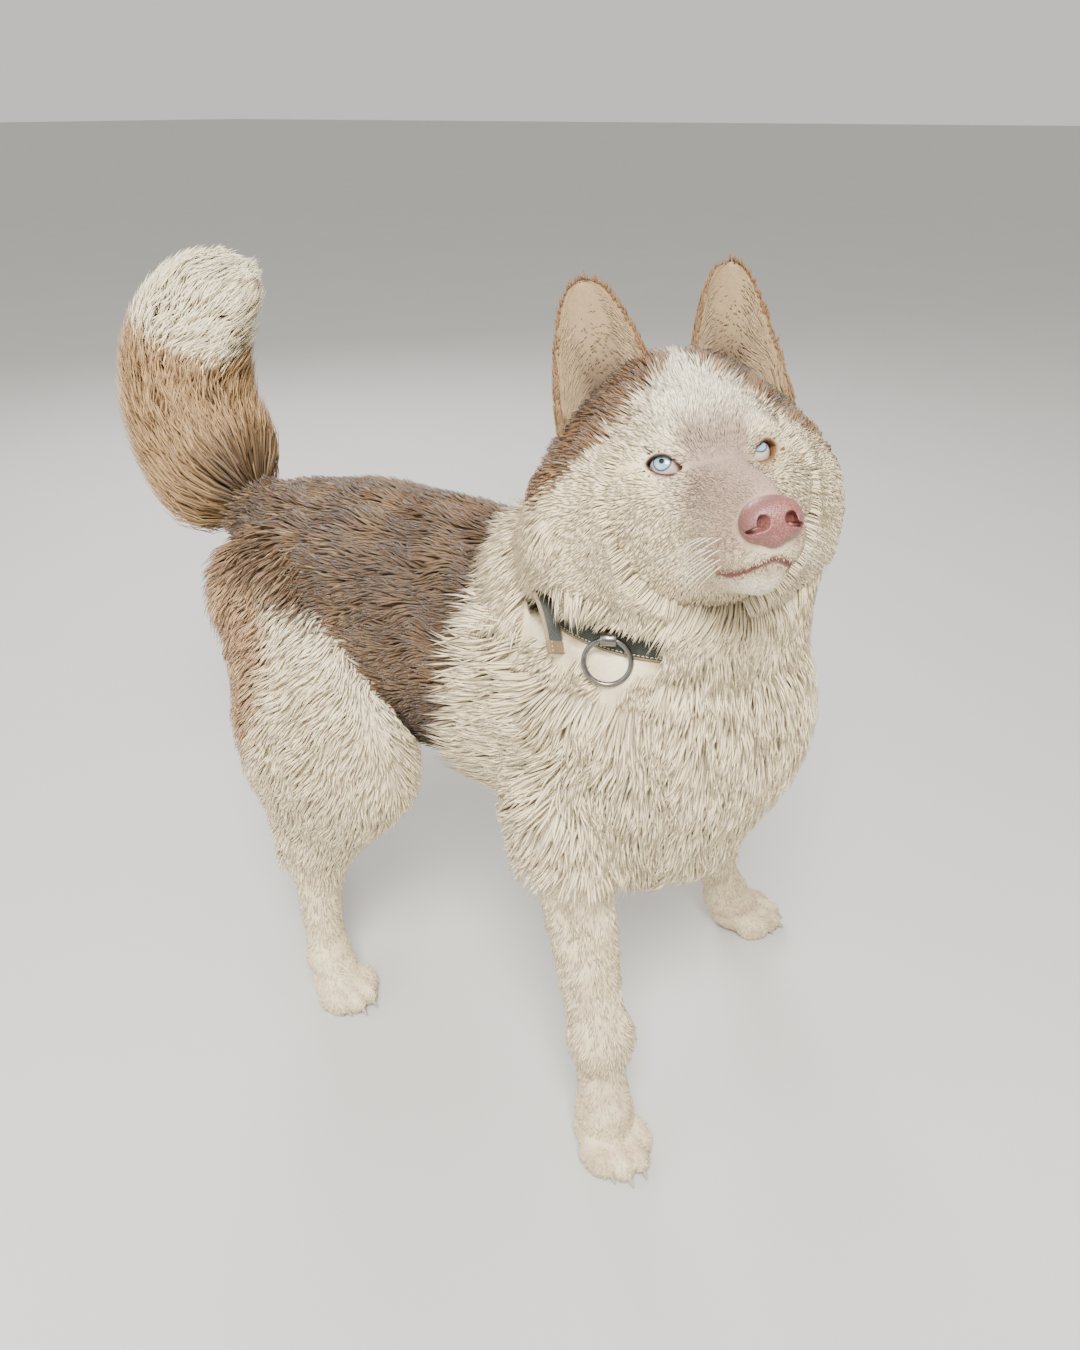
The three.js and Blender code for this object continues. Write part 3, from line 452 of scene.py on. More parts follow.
# %% Collar sizes, channel and window
COLLAR_MIDDLE, COLLAR_RADII, COLLAR_SLOPE = point(0, -8, 519), (97, 102), 0.05
COLLAR_TILT = unit(point(0, -COLLAR_SLOPE, 1))
RING_AT, RING_OUT, RING_RADIUS = point(-107.4, -12, 505.1), unit(point(-0.9, -0.38, 0.2)), 17.9
ring_side = unit(np.cross([0, 0, 1], RING_OUT))
ring_turn = np.stack([ring_side, np.cross(RING_OUT, ring_side), RING_OUT], -1)
ring_room = ball(RING_AT + 7 * RING_OUT, [25, 25, 12], ring_turn)
TAB_LINE = np.array([[-93, 50, 528], [-101, 40, 515], [-109.5, 31, 503]], float)
COLLAR_FRONT = np.array([[-109, 22, 519], [-107, -12, 519], [-96, -46, 517], [-78, -74, 515]], float)


def chain_distance(rows, chain):
    """Distance to the nearest of a chain of straight lines."""
    nearest = np.full(len(rows), 1e9)
    for a, b in zip(chain[:-1], chain[1:]):
        along = b - a
        t = np.clip((rows - a) @ along / (along @ along), 0, 1)
        nearest = np.minimum(nearest, np.linalg.norm(rows - a - t[:, None] * along, axis=1))
    return nearest


def strap_room(rows):
    """A channel round the neck for the strap, below zero inside it."""
    q = rows - COLLAR_MIDDLE
    beyond = (np.hypot(q[:, 0] / COLLAR_RADII[0], q[:, 1] / COLLAR_RADII[1]) - 1) * 99
    return np.maximum(np.abs(q[:, 2] - COLLAR_SLOPE * q[:, 1]) - 12.5, np.abs(beyond - 5) - 8)


def window(rows):
    """Places where long hair would hide the ring and the strap's end."""
    q = rows - RING_AT
    by_ring = np.linalg.norm(q - (q @ RING_OUT)[:, None] * RING_OUT, axis=1) < 23
    by_ring &= q @ RING_OUT > -4
    return by_ring | (chain_distance(rows, TAB_LINE) < 13) | (chain_distance(rows, COLLAR_FRONT) < 9)


# %% [markdown]
# ## How deep the coat is
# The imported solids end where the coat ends. On the back, belly and legs they are plain, so the skin lies
# beneath them by the fur's depth. On chest, neck and tail the broad locks stand on a core, and there the
# skin is close under the core.


# %% Depth of the coat under the solids
SOLE = 0.6


def mane(rows):
    """1 on the long-haired neck, chest and shoulders, 0 on the back."""
    edge = 118 + 0.12 * (430 - rows[:, 2])
    return 1 - ease(-14, 14, rows[:, 1] - edge)


def coat_depth(rows):
    return 2 + 7 * (1 - mane(rows))


def skin_level(rows):
    """The skin's field: the whole body, drawn in by the depth of its coat."""
    h = from_head(rows)
    front = 24 * ease(44, 14, h[:, 1]) * ease(130, 90, np.abs(h[:, 0])) * ease(-120, -95, h[:, 2])
    pieces = [torso(rows) + coat_depth(rows), neck(rows) + 2 + front, face(rows) + 2 + front]
    pieces += [thigh(rows) + 7 for thigh in thighs.values()]
    foot = ease(62, 48, rows[:, 2])
    pieces += [leg(rows) + 4.5 + 6 * foot for leg in legs.values()]
    pieces.append(tail(rows) + 7)
    d = np.maximum(soft_min(pieces, 5), SOLE - rows[:, 2])
    return np.maximum(np.maximum(d, -ring_room(rows)), -strap_room(rows))


def paw_level(rows):
    """The paws' own skin, with its creases between the toes, up to the pastern."""
    near = np.minimum.reduce([paw(rows) for paw in paws.values()])
    depth = 1.2 + 3.3 * ease(36, 60, rows[:, 2])
    return np.maximum(np.maximum(near + depth, SOLE - rows[:, 2]), rows[:, 2] - 62)


# %% [markdown]
# ## A skin from a field
# A grid of distances turns into a closed mesh where they pass zero. Most of the grid is far from the
# surface, so a coarse pass finds the blocks that the surface crosses, and only those are filled in.


# %% Fields to meshes
def surface(field, low, high, step, block=6):
    low, high = np.array(low, float), np.array(high, float)
    blocks = np.ceil((high - low) / (step * block)).astype(int)
    size = blocks * block
    centre = np.stack(np.meshgrid(*[np.arange(n) for n in blocks], indexing="ij"), -1).reshape(-1, 3)
    middle = low + (centre + 0.5) * block * step
    coarse = field(middle)
    values = np.where(coarse > 0, 3 * step, -3 * step).astype(np.float32)
    grid = np.repeat(np.repeat(np.repeat(values.reshape(blocks), block, 0), block, 1), block, 2)
    near = np.abs(coarse) < 1.25 * block * step
    cell = np.stack(np.meshgrid(*[np.arange(block)] * 3, indexing="ij"), -1).reshape(-1, 3)
    index = (centre[near][:, None] * block + cell[None]).reshape(-1, 3)
    for start in range(0, len(index), 400000):
        part = index[start : start + 400000]
        d = field(low + (part + 0.5) * step)
        grid[part[:, 0], part[:, 1], part[:, 2]] = np.clip(d, -3 * step, 3 * step)
    grid = np.pad(grid, 1, constant_values=3 * step)
    volume = openvdb.FloatGrid(3 * step)
    volume.copyFromArray(np.ascontiguousarray(grid))
    points, quads = volume.convertToQuads(isovalue=0.0)
    points = low + (np.array(points, float) - 1 + 0.5) * step
    quads = np.array(quads, int)
    triangles = np.vstack([quads[:, [0, 1, 2]], quads[:, [0, 2, 3]]])
    points, triangles = outward(points, triangles)
    print("surface of", len(points), "points from", size, "cells")
    return points, triangles


# %% [markdown]
# A coarse grid does for the body, since fur covers it. Each paw gets a finer one, so that the creases
# between its toes show.

# %% Skins of body and paws
BODY_GRID, PAW_GRID, FACE_GRID, NOSE_GRID = 5.0, 2.4, 1.7, 0.8
body_skin = surface(skin_level, (-200, -215, -6), (260, 590, 760), BODY_GRID)
paw_skins = []
for paw in paws.values():
    at = paw.place(0, -4, 0)
    paw_skins.append(surface(paw_level, at - [62, 66, 4], at + [62, 66, 66], PAW_GRID))
paw_skin = several(paw_skins)

# %% [markdown]
# ## Eyes, lids, lips and nose
# The face gets a finer grid of its own. Lids are a shell round each eyeball, opened by an almond, lips
# meet in a groove, and the nose leather is a lump of its own with two comma-shaped nostrils.

# %% Sizes of the eyes
EYE_RADIUS, LID_THICK = 11.5 * HEAD_SCALE, 2.6
eye_middle = {-1: on_head(-30, 8, 0), 1: on_head(30, 8, 0)}


def seen_on_eye(s, px, py):
    """The direction from an eyeball's middle to the place on it that the camera sees there."""
    ray, q = towards(px, py), CAMERA_AT - eye_middle[s]
    half = q @ ray
    hit = q - (half + math.sqrt(half**2 - q @ q + EYE_RADIUS**2)) * ray
    return unit(hit)


gaze = {-1: seen_on_eye(-1, 661.5, 461), 1: seen_on_eye(1, 759, 443)}
print("gaze", {s: np.round(g @ HEAD_TURN, 2) for s, g in gaze.items()})


def eye_axes(s):
    forward = head_direction(0.5 * s, -1, 0.1)
    sideways = HEAD_TURN[:, 0] * s
    across = unit(sideways - (sideways @ forward) * forward)
    return across, np.cross(forward, across) * s, forward


def by_eye(rows, s):
    """Distances across, up and ahead from an eyeball's middle, and the straight one."""
    q = rows - eye_middle[s]
    return (*(q @ axis for axis in eye_axes(s)), np.linalg.norm(q, axis=1))


def bow(a, b, c, count=40):
    t = np.linspace(0, 1, count)[:, None]
    return (1 - t) ** 2 * point(*a) + 2 * t * (1 - t) * point(*b) + t**2 * point(*c)


UPPER_LID = bow((-14.5, -4.2), (-1, 13.5), (12, 3.2))
LOWER_LID = bow((-14.5, -4.2), (1, -10.5), (12, 3.2))


def opening(rows, s):
    """Distance to the almond between the lids, below zero inside it."""
    x, y, z, _ = by_eye(rows, s)
    high = np.interp(x, UPPER_LID[:, 0], UPPER_LID[:, 1])
    low = np.interp(x, LOWER_LID[:, 0], LOWER_LID[:, 1])
    return np.maximum(np.maximum(y - high, low - y) * 0.8, 4 - z)


def slope(field, rows, step=0.8):
    base = field(rows)
    moved = [field(rows + step * np.eye(3)[i]) - base for i in range(3)]
    return unit(np.stack(moved, -1)), base


def on_face(x, y, z):
    p = on_head(x, y, z)[None]
    for _ in range(6):
        out, d = slope(face, p)
        p = p - out * d[:, None] * 0.9
    return p[0]


LIP = [(0, -103, -67), (9, -98, -69), (20, -80, -71), (26, -58, -72), (32, -36, -70), (38, -16, -61)]
lips = {s: through(np.array([on_face(x * s, y, z) for x, y, z in LIP]), 26) for s in (-1, 1)}
PHILTRUM = [(0, -114, -34), (0, -113.5, -42), (0, -108, -52)]
philtrum = through(np.array([on_head(*p) for p in PHILTRUM] + [on_face(0, -103, -67)]), 12)


def lip_distance(rows):
    return np.minimum(chain_distance(rows, lips[-1]), chain_distance(rows, lips[1]))


nose_lumps = blend(
    [
        head_ball(0, -98, -36.5, 17.5, 12.5, 12.5),
        *pair(lambda s: head_ball(8 * s, -99, -40, 10.5, 11.5, 11)),
        head_ball(0, -98, -48, 8, 9.5, 7),
    ],
    1.6,
)


def nostril(s):
    hole = ball(on_head(8 * s, -110, -38.5), [3.4, 9, 4.6], HEAD_TURN @ turned("z", -26 * s))
    comma = ball(on_head(13 * s, -106, -42.5), [6, 6.5, 1.7], HEAD_TURN @ turned("y", 14 * s))
    return blend([hole, comma], 1)


nostrils = pair(nostril)


def nose_field(rows):
    d = nose_lumps(rows)
    for hole in nostrils:
        d = np.maximum(d, -hole(rows))
    return np.maximum(d, 0.9 - chain_distance(rows, philtrum))


# %% [markdown]
# ## Skin of the face
# The lids' rims stand a little proud of the eyeball, and the corner at the nose runs out in a tear duct.
# Deep creases are cut after the blend, so that they stay sharp.


# %% The face's skin
def face_level(rows):
    h = from_head(rows)
    depth = 1 + 2.5 * ease(-60, 20, h[:, 1])
    d = face(rows) + depth
    for s in (-1, 1):
        across, rise, ahead, from_eye = by_eye(rows, s)
        off = np.hypot(across, rise)
        socket = ahead - np.where(off < 10, 15 - off**2 / 20, 10 + 1.15 * (off - 10))
        d = 1.5 * np.logaddexp(d / 1.5, 0.7 * socket / 1.5)
        d = soft_min([d, from_eye - (EYE_RADIUS + LID_THICK)], 2.5)
        d = np.maximum(d, EYE_RADIUS + 0.3 - from_eye)
        d = np.maximum(d, -opening(rows, s))
    d = np.maximum(d, 1.7 - lip_distance(rows))
    d = np.maximum(d, 1.0 - chain_distance(rows, philtrum))
    return np.maximum(d, (h[:, 1] - 50) * HEAD_SCALE)


def head_box(xs, ys, zs):
    corners = np.array([on_head(x, y, z) for x in xs for y in ys for z in zs])
    return corners.min(0), corners.max(0)


face_skin = surface(face_level, *head_box((-92, 92), (-118, 52), (-112, 82)), FACE_GRID)
low, high = head_box((-22, 22), (-114, -80), (-58, -20))
nose_skin = surface(nose_field, low - 2, high + 2, NOSE_GRID)

# %% [markdown]
# ## Markings
# Skin and hair share one set of colours, so that no skin of another colour shows between two hairs. They
# are worked out from place alone: a brown cap that ends over the brows, a pale mask and mane, a dark
# saddle, tan breeches, and a tail that is brown below and cream above. Slow ripples make edges ragged.


# %% Colours by place
def colour(red, green, blue):
    c = np.array([red, green, blue]) / 255
    return np.where(c <= 0.04045, c / 12.92, ((c + 0.055) / 1.055) ** 2.4)


CREAM, IVORY = colour(244, 228, 190), colour(252, 243, 218)
SHADE = colour(214, 196, 158)
CAP, CAP_DARK = colour(142, 102, 58), colour(108, 76, 44)
SADDLE, SADDLE_DARK, FLECK = colour(118, 90, 60), colour(86, 63, 41), colour(178, 148, 108)
TAN, TAIL_BROWN = colour(180, 144, 106), colour(182, 148, 104)
# the third ear colour is painted shade for the deep hollow of the ear's cup
EAR_RIM, EAR_INSIDE, EAR_PAINTED_SHADE = colour(130, 98, 62), colour(176, 150, 114), colour(74, 55, 40)
BRIDGE, MOTTLE, LIP_SKIN = colour(168, 142, 122), colour(164, 126, 108), colour(128, 82, 76)
LID_RIM, TEAR = colour(64, 46, 38), colour(176, 120, 114)


def mix(a, b, share):
    share = np.clip(np.asarray(share, float), 0, 1).reshape(-1, 1)
    return a * (1 - share) + b * share


def ripple(rows, size, seed):
    """A slow, smooth noise between about -1 and 1."""
    draw = np.random.default_rng(seed)
    total = np.zeros(len(rows))
    for _ in range(6):
        direction = draw.normal(size=3)
        direction *= 2 * math.pi / (size * draw.uniform(0.7, 1.5) * np.linalg.norm(direction))
        total += np.sin(rows @ direction + draw.uniform(0, 7))
    return total / 3


# %% [markdown]
# ## The head's markings
# Everything here is in the head's own axes: the cap's lower edge over the brows, the greyish bridge, the
# mottled whisker pads, the lips and the lids.


# %% Head colours
def head_colour(rows):
    h = from_head(rows)
    x, y, z = h.T
    wide = np.abs(x)
    base = mix(CREAM, SHADE, 0.35 + 0.35 * ripple(rows, 22, 1))
    base = mix(base, IVORY, ease(-10, 40, z) * ease(60, 10, wide) * 0.8)
    edge = np.interp(wide, [0, 6, 13, 30, 48, 65, 80, 95], [76, 68, 58, 45, 29, 12, -2, -12])
    cap = ease(-5, 6, z - edge + 3 * ripple(rows, 12, 2)) * ease(-30, 15, y)
    cap_colour = mix(CAP, CAP_DARK, 0.5 + 0.5 * ripple(rows, 26, 3))
    base = mix(base, cap_colour, cap)
    brow = np.exp(-(((x - 47) / 9) ** 2) - ((z - 21 - 0.15 * (x - 47)) / 3) ** 2) * ease(30, 10, y)
    base = mix(base, CAP_DARK, 0.75 * brow)
    bridge = ease(27, 17, wide - 0.1 * np.maximum(-y, 0)) * ease(12, -8, y) * ease(-62, -40, z)
    base = mix(base, BRIDGE, bridge)
    temple = np.exp(-(((wide - 24) / 10) ** 2) - ((z + 22) / 14) ** 2) * ease(20, -5, y)
    base = mix(base, BRIDGE, 0.6 * temple)
    spot = np.exp(-((x / 9) ** 2) - ((z - 38) / 9) ** 2) * ease(40, 20, y)
    base = mix(base, CAP, 0.3 * spot)
    whisker = ease(10, 20, wide) * ease(-40, -58, y) * ease(-34, -48, z)
    base = mix(base, MOTTLE, whisker * (0.45 + 0.5 * ripple(rows, 5, 4)))
    chin = ease(-68, -76, z) * ease(-40, -60, y)
    base = mix(base, IVORY, 0.7 * chin)
    lips_near = lip_distance(rows)
    base = mix(base, LIP_SKIN, ease(5, 1.8, lips_near) * ease(-20, -60, y))
    for s in (-1, 1):
        across, rise, _, from_eye = by_eye(rows, s)
        gap = opening(rows, s)
        rim = ease(3.0, 1.0, gap) * ease(EYE_RADIUS + 8, EYE_RADIUS + 4, from_eye)
        base = mix(base, LID_RIM, rim)
        base = mix(base, TEAR, rim * ease(-7, -11, across) * 0.8)
        lower = ease(0, -4, rise) * ease(EYE_RADIUS + 7, EYE_RADIUS + 4, from_eye)
        base = mix(base, TEAR, ease(4.5, 2.5, gap) * lower * (0.5 if s < 0 else 0.25) * (1 - rim))
        if s == 1:
            ring = ease(9, 3, gap) * ease(EYE_RADIUS + 14, EYE_RADIUS + 6, from_eye)
            base = mix(base, CAP, 0.45 * ring)
    return base


# %% [markdown]
# ## The body's markings
# The saddle starts behind the mane, its lower edge falls across the thigh, and the rear of the thigh is
# tan. The tail's slanting border parts brown from cream.


# %% Body colours
def body_colour(rows):
    x, y, z = rows.T
    ragged = 7 * ripple(rows, 14, 5)
    cream = mix(CREAM, SHADE, 0.3 + 0.4 * ripple(rows, 30, 6))
    dark = mix(SADDLE, SADDLE_DARK, 0.5 + 0.6 * ripple(rows, 60, 7))
    dark = mix(dark, FLECK, 0.65 * ease(0.35, 1.0, ripple(rows * [1, 0.5, 1.4], 9, 8)) * ease(150, 330, y))
    base = mix(cream, dark, 1 - mane(rows + [0, 1, 0] * ragged[:, None]))
    base = mix(base, cream, ease(352, 322, z + ragged))
    nape = ease(560, 600, z) * ease(62, 34, np.abs(x)) * ease(20, 60, y)
    base = mix(base, CAP, 0.75 * nape)
    limbs = np.minimum.reduce([part(rows) for part in [*thighs.values(), *legs.values()]])
    on_leg = ease(6, -6, limbs - torso(rows))
    line = z - np.interp(y, [150, 200, 226, 274, 344, 400], [405, 408, 420, 460, 472, 482]) + ragged
    hind = on_leg * ease(150, 190, y)
    tan_edge = np.interp(z, [230, 300, 340, 390, 430, 476], [420, 362, 338, 322, 330, 345])
    pale = mix(cream, IVORY, 0.4 * ease(-60, -10, line))
    tan = mix(TAN, CREAM, ease(380, 250, z) * 0.8 + 0.25 * ripple(rows, 12, 9))
    rear = ease(-14, 14, y - tan_edge + ragged)
    flank = mix(pale, tan, rear)
    flank = mix(flank, dark, ease(-6, 8, line) * (1 - 0.5 * rear * ease(40, 0, line)))
    base = mix(base, flank, hind)
    fore = on_leg * ease(150, 110, y)
    stain = 0.35 * ease(150, 60, z) * (0.5 + 0.5 * ripple(rows, 25, 10))
    base = mix(base, mix(cream, TAN, stain), fore)
    brush = np.maximum(ease(435, 455, y), ease(375, 400, y) * ease(600, 630, z)) * ease(470, 500, z)
    slant = z - (618 + (y - 451) * 0.45) + 9 * ripple(rows, 16, 11)
    lower = mix(TAIL_BROWN, SADDLE, 0.35 + 0.5 * ripple(rows, 14, 12))
    lower = mix(lower, SHADE, ease(20, 75, tail(rows)) * ease(480, 540, y) * 0.8)
    plume = mix(lower, mix(cream, IVORY, 0.5), ease(-8, 8, slant))
    return mix(base, plume, brush)


def above_neck(rows):
    """Height over the slanting plane that parts the head from the neck."""
    return (rows - point(5, -10, 598)) @ unit(point(-0.2776, -0.2132, 1))


def coat_colour(rows):
    on_top = ease(-12, 12, above_neck(rows)) * ease(128, 100, from_head(rows)[:, 1])
    return mix(body_colour(rows), head_colour(rows), on_top)


# %% [markdown]
# ## Tufts
# One tuft is a thin blade of three sides that leaves the skin, bends over along the lie of the coat and
# ends in a point. All tufts of a coat are worked out together: each step moves every tip a little way
# along the lie and lifts it to its height over the body's form, so that long hair wraps the body and
# never dives into it. Each tuft gets a small patch at its root's place on the skin's unwrap.


# %% Roots and the unwrap
def triangle_data(points, faces):
    a, b, c = (points[faces[:, i]] for i in range(3))
    cross = np.cross(b - a, c - a)
    area = np.linalg.norm(cross, axis=1) / 2
    return (a + b + c) / 3, unit(cross), area


def roots_on(skin, weight, count, seed):
    """Places and normals of count roots, drawn by the area and weight of each triangle."""
    points, faces = skin
    draw = np.random.default_rng(seed)
    middle, normal, area = triangle_data(points, faces)
    share = area * weight
    picked = draw.choice(len(faces), size=count, p=share / share.sum())
    u, w = draw.random(count), draw.random(count)
    u, w = np.where(u + w > 1, 1 - u, u), np.where(u + w > 1, 1 - w, w)
    a, b, c = (points[faces[picked, i]] for i in range(3))
    return a + (b - a) * u[:, None] + (c - a) * w[:, None], normal[picked]


def unwrap(rows, start, end):
    """Places on the skin rolled out from round an axis: once round is 1, and so is end to end."""
    along = end - start
    length = np.linalg.norm(along)
    along = along / length
    side = unit(np.cross(along, [0.13, 0.2, 0.97] if abs(along[2]) < 0.8 else [1, 0.1, 0.1]))
    up = np.cross(side, along)
    q = rows - start
    once_round = np.arctan2(q @ up, q @ side) / (2 * math.pi) + 0.5
    return np.stack([once_round, 0.5 + 0.9 * (q @ along / length - 0.5)], -1)


# %% [markdown]
# The tables say how high and how wide a tuft is at each of its steps. A slow ripple turns neighbours the
# same way, so that the coat falls into clumps and waves.

# %% One coat of tufts
RISE = {2: [0, 0.7, 1], 3: [0, 0.62, 0.92, 1]}
WIDE = {2: [0.75, 1], 3: [0.65, 1, 0.7]}
SUNK, SUNK_LONG, OVER_FLOOR = 0.8, 1.5, 0.4
PATCH, PATCH_TIP = 0.0013, 0.0015
coats = []


def comb(name, spots, lie, length, width, height, axis, field=None, steps=3, seed=1, wave=0.2, colours=None):
    """Grows one tuft on each spot. length, width and height are in millimetres, one for each or for all."""
    rows, normal = spots
    count = len(rows)
    draw = np.random.default_rng(seed)
    length = length * draw.uniform(0.7, 1.2, count)
    width = width * draw.uniform(0.7, 1.25, count)
    height = height * draw.uniform(0.75, 1.2, count)
    turn = (draw.normal(0, 0.5 * wave, count) + 1.6 * wave * ripple(rows, 34, seed))[:, None]
    curl = (draw.normal(0, 0.4 * wave, count) + 1.6 * wave * ripple(rows, 26, seed + 50))[:, None]
    hue = coat_colour(rows + draw.normal(0, 2.5, (count, 3))) if colours is None else colours(rows, draw)
    hue = np.clip(hue * draw.uniform(0.9, 1.1, (count, 1)), 0, 0.95)
    p, out, loops, reached = rows.copy(), normal, [], 0
    for i in range(steps + 1):
        if field is None:
            goal = -SUNK + (height + SUNK) * RISE[steps][i]
            p = p + out * (goal - reached)[:, None]
            reached = goal
        else:
            out, level = slope(field, p)
            if i == 0:
                low = level - SUNK_LONG
            p = p + out * (low + (height - low) * RISE[steps][i] - level)[:, None]
        flow = lie(p)
        flow = unit(flow - out * (flow * out).sum(1, keepdims=True))
        across = np.cross(flow, out)
        flow = unit(flow + across * (turn + curl * i / steps))
        across = np.cross(flow, out)
        if i == steps:
            loops.append(p[:, None])
        else:
            w = (width * WIDE[steps][i] / 2)[:, None]
            under = p - out * w * 0.3
            loops.append(np.stack([under + across * w, p + out * w * 0.38, under - across * w], 1))
            p = p + flow * (length / steps)[:, None]
    per = 3 * steps + 1
    tufts = np.concatenate(loops, 1)
    kept = ~window(tufts.reshape(-1, 3)).reshape(count, per).any(1)
    rows, hue, tufts, count = rows[kept], hue[kept], tufts[kept], int(kept.sum())
    points = tufts.reshape(-1, 3)
    points[:, 2] = np.maximum(points[:, 2], OVER_FLOOR)
    faces = [[0, 1, 2]]
    for i in range(steps - 1):
        for k in range(3):
            a, b = 3 * i + k, 3 * i + (k + 1) % 3
            faces += [[a, a + 3, b + 3], [a, b + 3, b]]
    last = 3 * (steps - 1)
    faces += [[last + k, per - 1, last + (k + 1) % 3] for k in range(3)]
    faces = (np.array(faces)[None] + per * np.arange(count)[:, None, None]).reshape(-1, 3)
    tip = np.repeat(np.arange(steps + 1), [3] * steps + [1]) / steps
    spread = np.tile(np.array([[-1, -1], [0, 1], [1, -1]]), (steps, 1)) * PATCH
    spread = np.vstack([spread, [[0, PATCH_TIP]]])
    places = (unwrap(rows, *axis)[:, None] * 0.98 + 0.01 + spread[None]).reshape(-1, 2)
    made = mesh_object(name, points, faces, np.repeat(hue, per, 0), np.tile(tip, count), {"OFBake": places})
    coats.append(made)
    print(name, count, "tufts,", len(faces), "triangles")
    return made


# %% [markdown]
# ## Which fur grows where
# The body's skin is shared out among coats by place. Chest, neck and tail have the longest hair, back
# and belly a middling coat, and legs and feet short fur.

# %% Shares of the skin
middle = triangle_data(*body_skin)[0]
x, y, z = middle.T
h = from_head(middle)
is_head = (above_neck(middle) > 0) & (h[:, 1] < 125)
is_tail = (tail(middle) < torso(middle)) & (y > 425) & (z > 470)
thigh_near = np.minimum.reduce([thigh(middle) for thigh in thighs.values()])
leg_near = np.minimum.reduce([leg(middle) for leg in legs.values()])
is_leg = (leg_near < np.minimum(torso(middle), thigh_near)) & (z < 330)
is_thigh = (thigh_near < torso(middle)) & ~is_leg & ~is_tail & (y > 150)
free = ~(is_head | is_tail | is_leg | is_thigh)
long_hair = mane(middle) > 0.5
by_collar = free & (x < -50) & (y > -52) & (y < 70) & (z > 478) & (z < 566)
is_neck = free & long_hair & (z > 512) & ~by_collar
is_chest = free & long_hair & (z <= 512) & ~by_collar
is_back = free & ~long_hair
shares = {"head": is_head, "tail": is_tail, "thigh": is_thigh, "leg": is_leg, "neck": is_neck}
print({name: int(share.sum()) for name, share in shares.items()})


# %% [markdown]
# ## The lie of the coat
# Each part's hair has a direction: back from the nose, down the neck, down and then back along the body,
# down the legs, and along the tail.


# %% Directions
def steady(*xyz):
    direction = unit(point(*xyz))
    return lambda rows: np.tile(direction, (len(rows), 1))


def head_lie(rows):
    """Back from the nose, over the crown and down the cheeks."""
    q = from_head(rows)
    side = np.sign(q[:, 0]) * np.clip(np.abs(q[:, 0]) / 40, 0, 1)
    low = ease(25, -50, q[:, 2])
    local = np.stack([0.35 * side, np.ones(len(q)), 0.25 - 0.95 * low], -1)
    return unit(local) @ HEAD_TURN.T


def neck_lie(rows):
    return unit(np.stack([0.1 * np.sign(rows[:, 0]), np.full(len(rows), 0.35), np.full(len(rows), -1.0)], -1))


def body_lie(rows):
    """Down over the chest, and more and more backwards along the ribs and the back."""
    back = ease(-20, 110, rows[:, 1])
    drop = -1 + 0.75 * back
    return unit(np.stack([0 * back, 0.12 + 0.95 * back, drop], -1))


def tail_lie(rows):
    return tail_place(rows)[1]


def trunk(rows):
    return blend([torso, neck, legs["fore_right"], legs["fore_left"]], 8)(rows)


def whole(rows):
    return np.minimum(trunk(rows), face(rows))


# %% [markdown]
# ## The long coats
# Hair here is as long as a finger. The chest's hangs down in points, the shoulders' sweeps back over the
# dark saddle, and the tail's flares out all round its core.

# %% Chest, neck, ruff and tail
chest_axis = (point(0, 20, 230), point(0, 20, 530))
spots = roots_on(body_skin, is_chest, 10800, 1)
height = 10 + 4 * ease(360, 300, spots[0][:, 2])
comb("coat_chest", spots, body_lie, 46, 2.8, height, chest_axis, trunk, seed=11)
spots = roots_on(body_skin, by_collar & (np.abs(z - 519) > 17), 1100, 8)
comb("coat_by_collar", spots, neck_lie, 13, 2.2, 3, chest_axis, trunk, steps=2, seed=22)
neck_axis = (point(0, 0, 480), point(0, 20, 640))
spots = roots_on(body_skin, is_neck, 9800, 2)
comb("coat_neck", spots, neck_lie, 40, 2.5, 8, neck_axis, whole, seed=12)
head_axis = (on_head(0, 140, -30), on_head(0, -120, -40))
behind = is_head & (h[:, 1] > 22)
crown = behind & (h[:, 2] > 8)
ruff = behind & ~crown
spots = roots_on(body_skin, ruff, 10500, 3)
q = from_head(spots[0])
back = ease(22, 62, q[:, 1])
comb("coat_ruff", spots, head_lie, 16 + 26 * back, 1.8 + 0.9 * back, 3 + 9 * back, head_axis, whole, seed=13)
tail_axis = (point(0, 470, 470), point(0, 480, 770))
spots = roots_on(body_skin, is_tail, 10500, 4)
t, _ = tail_place(spots[0])
plume = 34 * (1 - 0.95 * t**2)
comb("coat_tail", spots, tail_lie, 70 - 38 * t, 3.2 - 0.8 * t, plume, tail_axis, tail, seed=14, wave=0.16)

# %% [markdown]
# ## The short coats
# The saddle lies flat along the back, the thighs end behind in longer breeches, and legs and toes carry
# short fur that softens their outline.

# %% Back, thighs, legs and paws
back_axis = (point(0, 80, 440), point(0, 470, 480))
spots = roots_on(body_skin, is_back, 16500, 5)
comb("coat_back", spots, body_lie, 24, 2.4, 8, back_axis, steps=2, seed=15, wave=0.28)
for name, sign in (("right", -1), ("left", 1)):
    spots = roots_on(body_skin, is_thigh & (x * sign > 0), 7800, 6 + sign)
    rear = ease(-10, 45, spots[0][:, 1] - (380 if sign < 0 else 420)) * ease(180, 230, spots[0][:, 2])
    axis = (point(70 * sign, 330, 180), point(70 * sign, 340, 500))
    length, width, height = 22 + 26 * rear, 2.3 + rear, 7 + 9 * rear
    comb("coat_thigh_" + name, spots, steady(0, 0.45, -1), length, width, height, axis, seed=16 + sign)
leg_axis = (point(20, 150, 0), point(20, 150, 400))
spots = roots_on(body_skin, is_leg & (z > 56), 11000, 9)
shin = ease(40, 120, spots[0][:, 2])
length, width, height = 6 + 8 * shin, 1.1 + 0.6 * shin, 0.8 + 1.5 * shin
comb("coat_legs", spots, steady(0, 0.1, -1), length, width, height, leg_axis, steps=2, seed=18)
paw_middle = triangle_data(*paw_skin)[0]
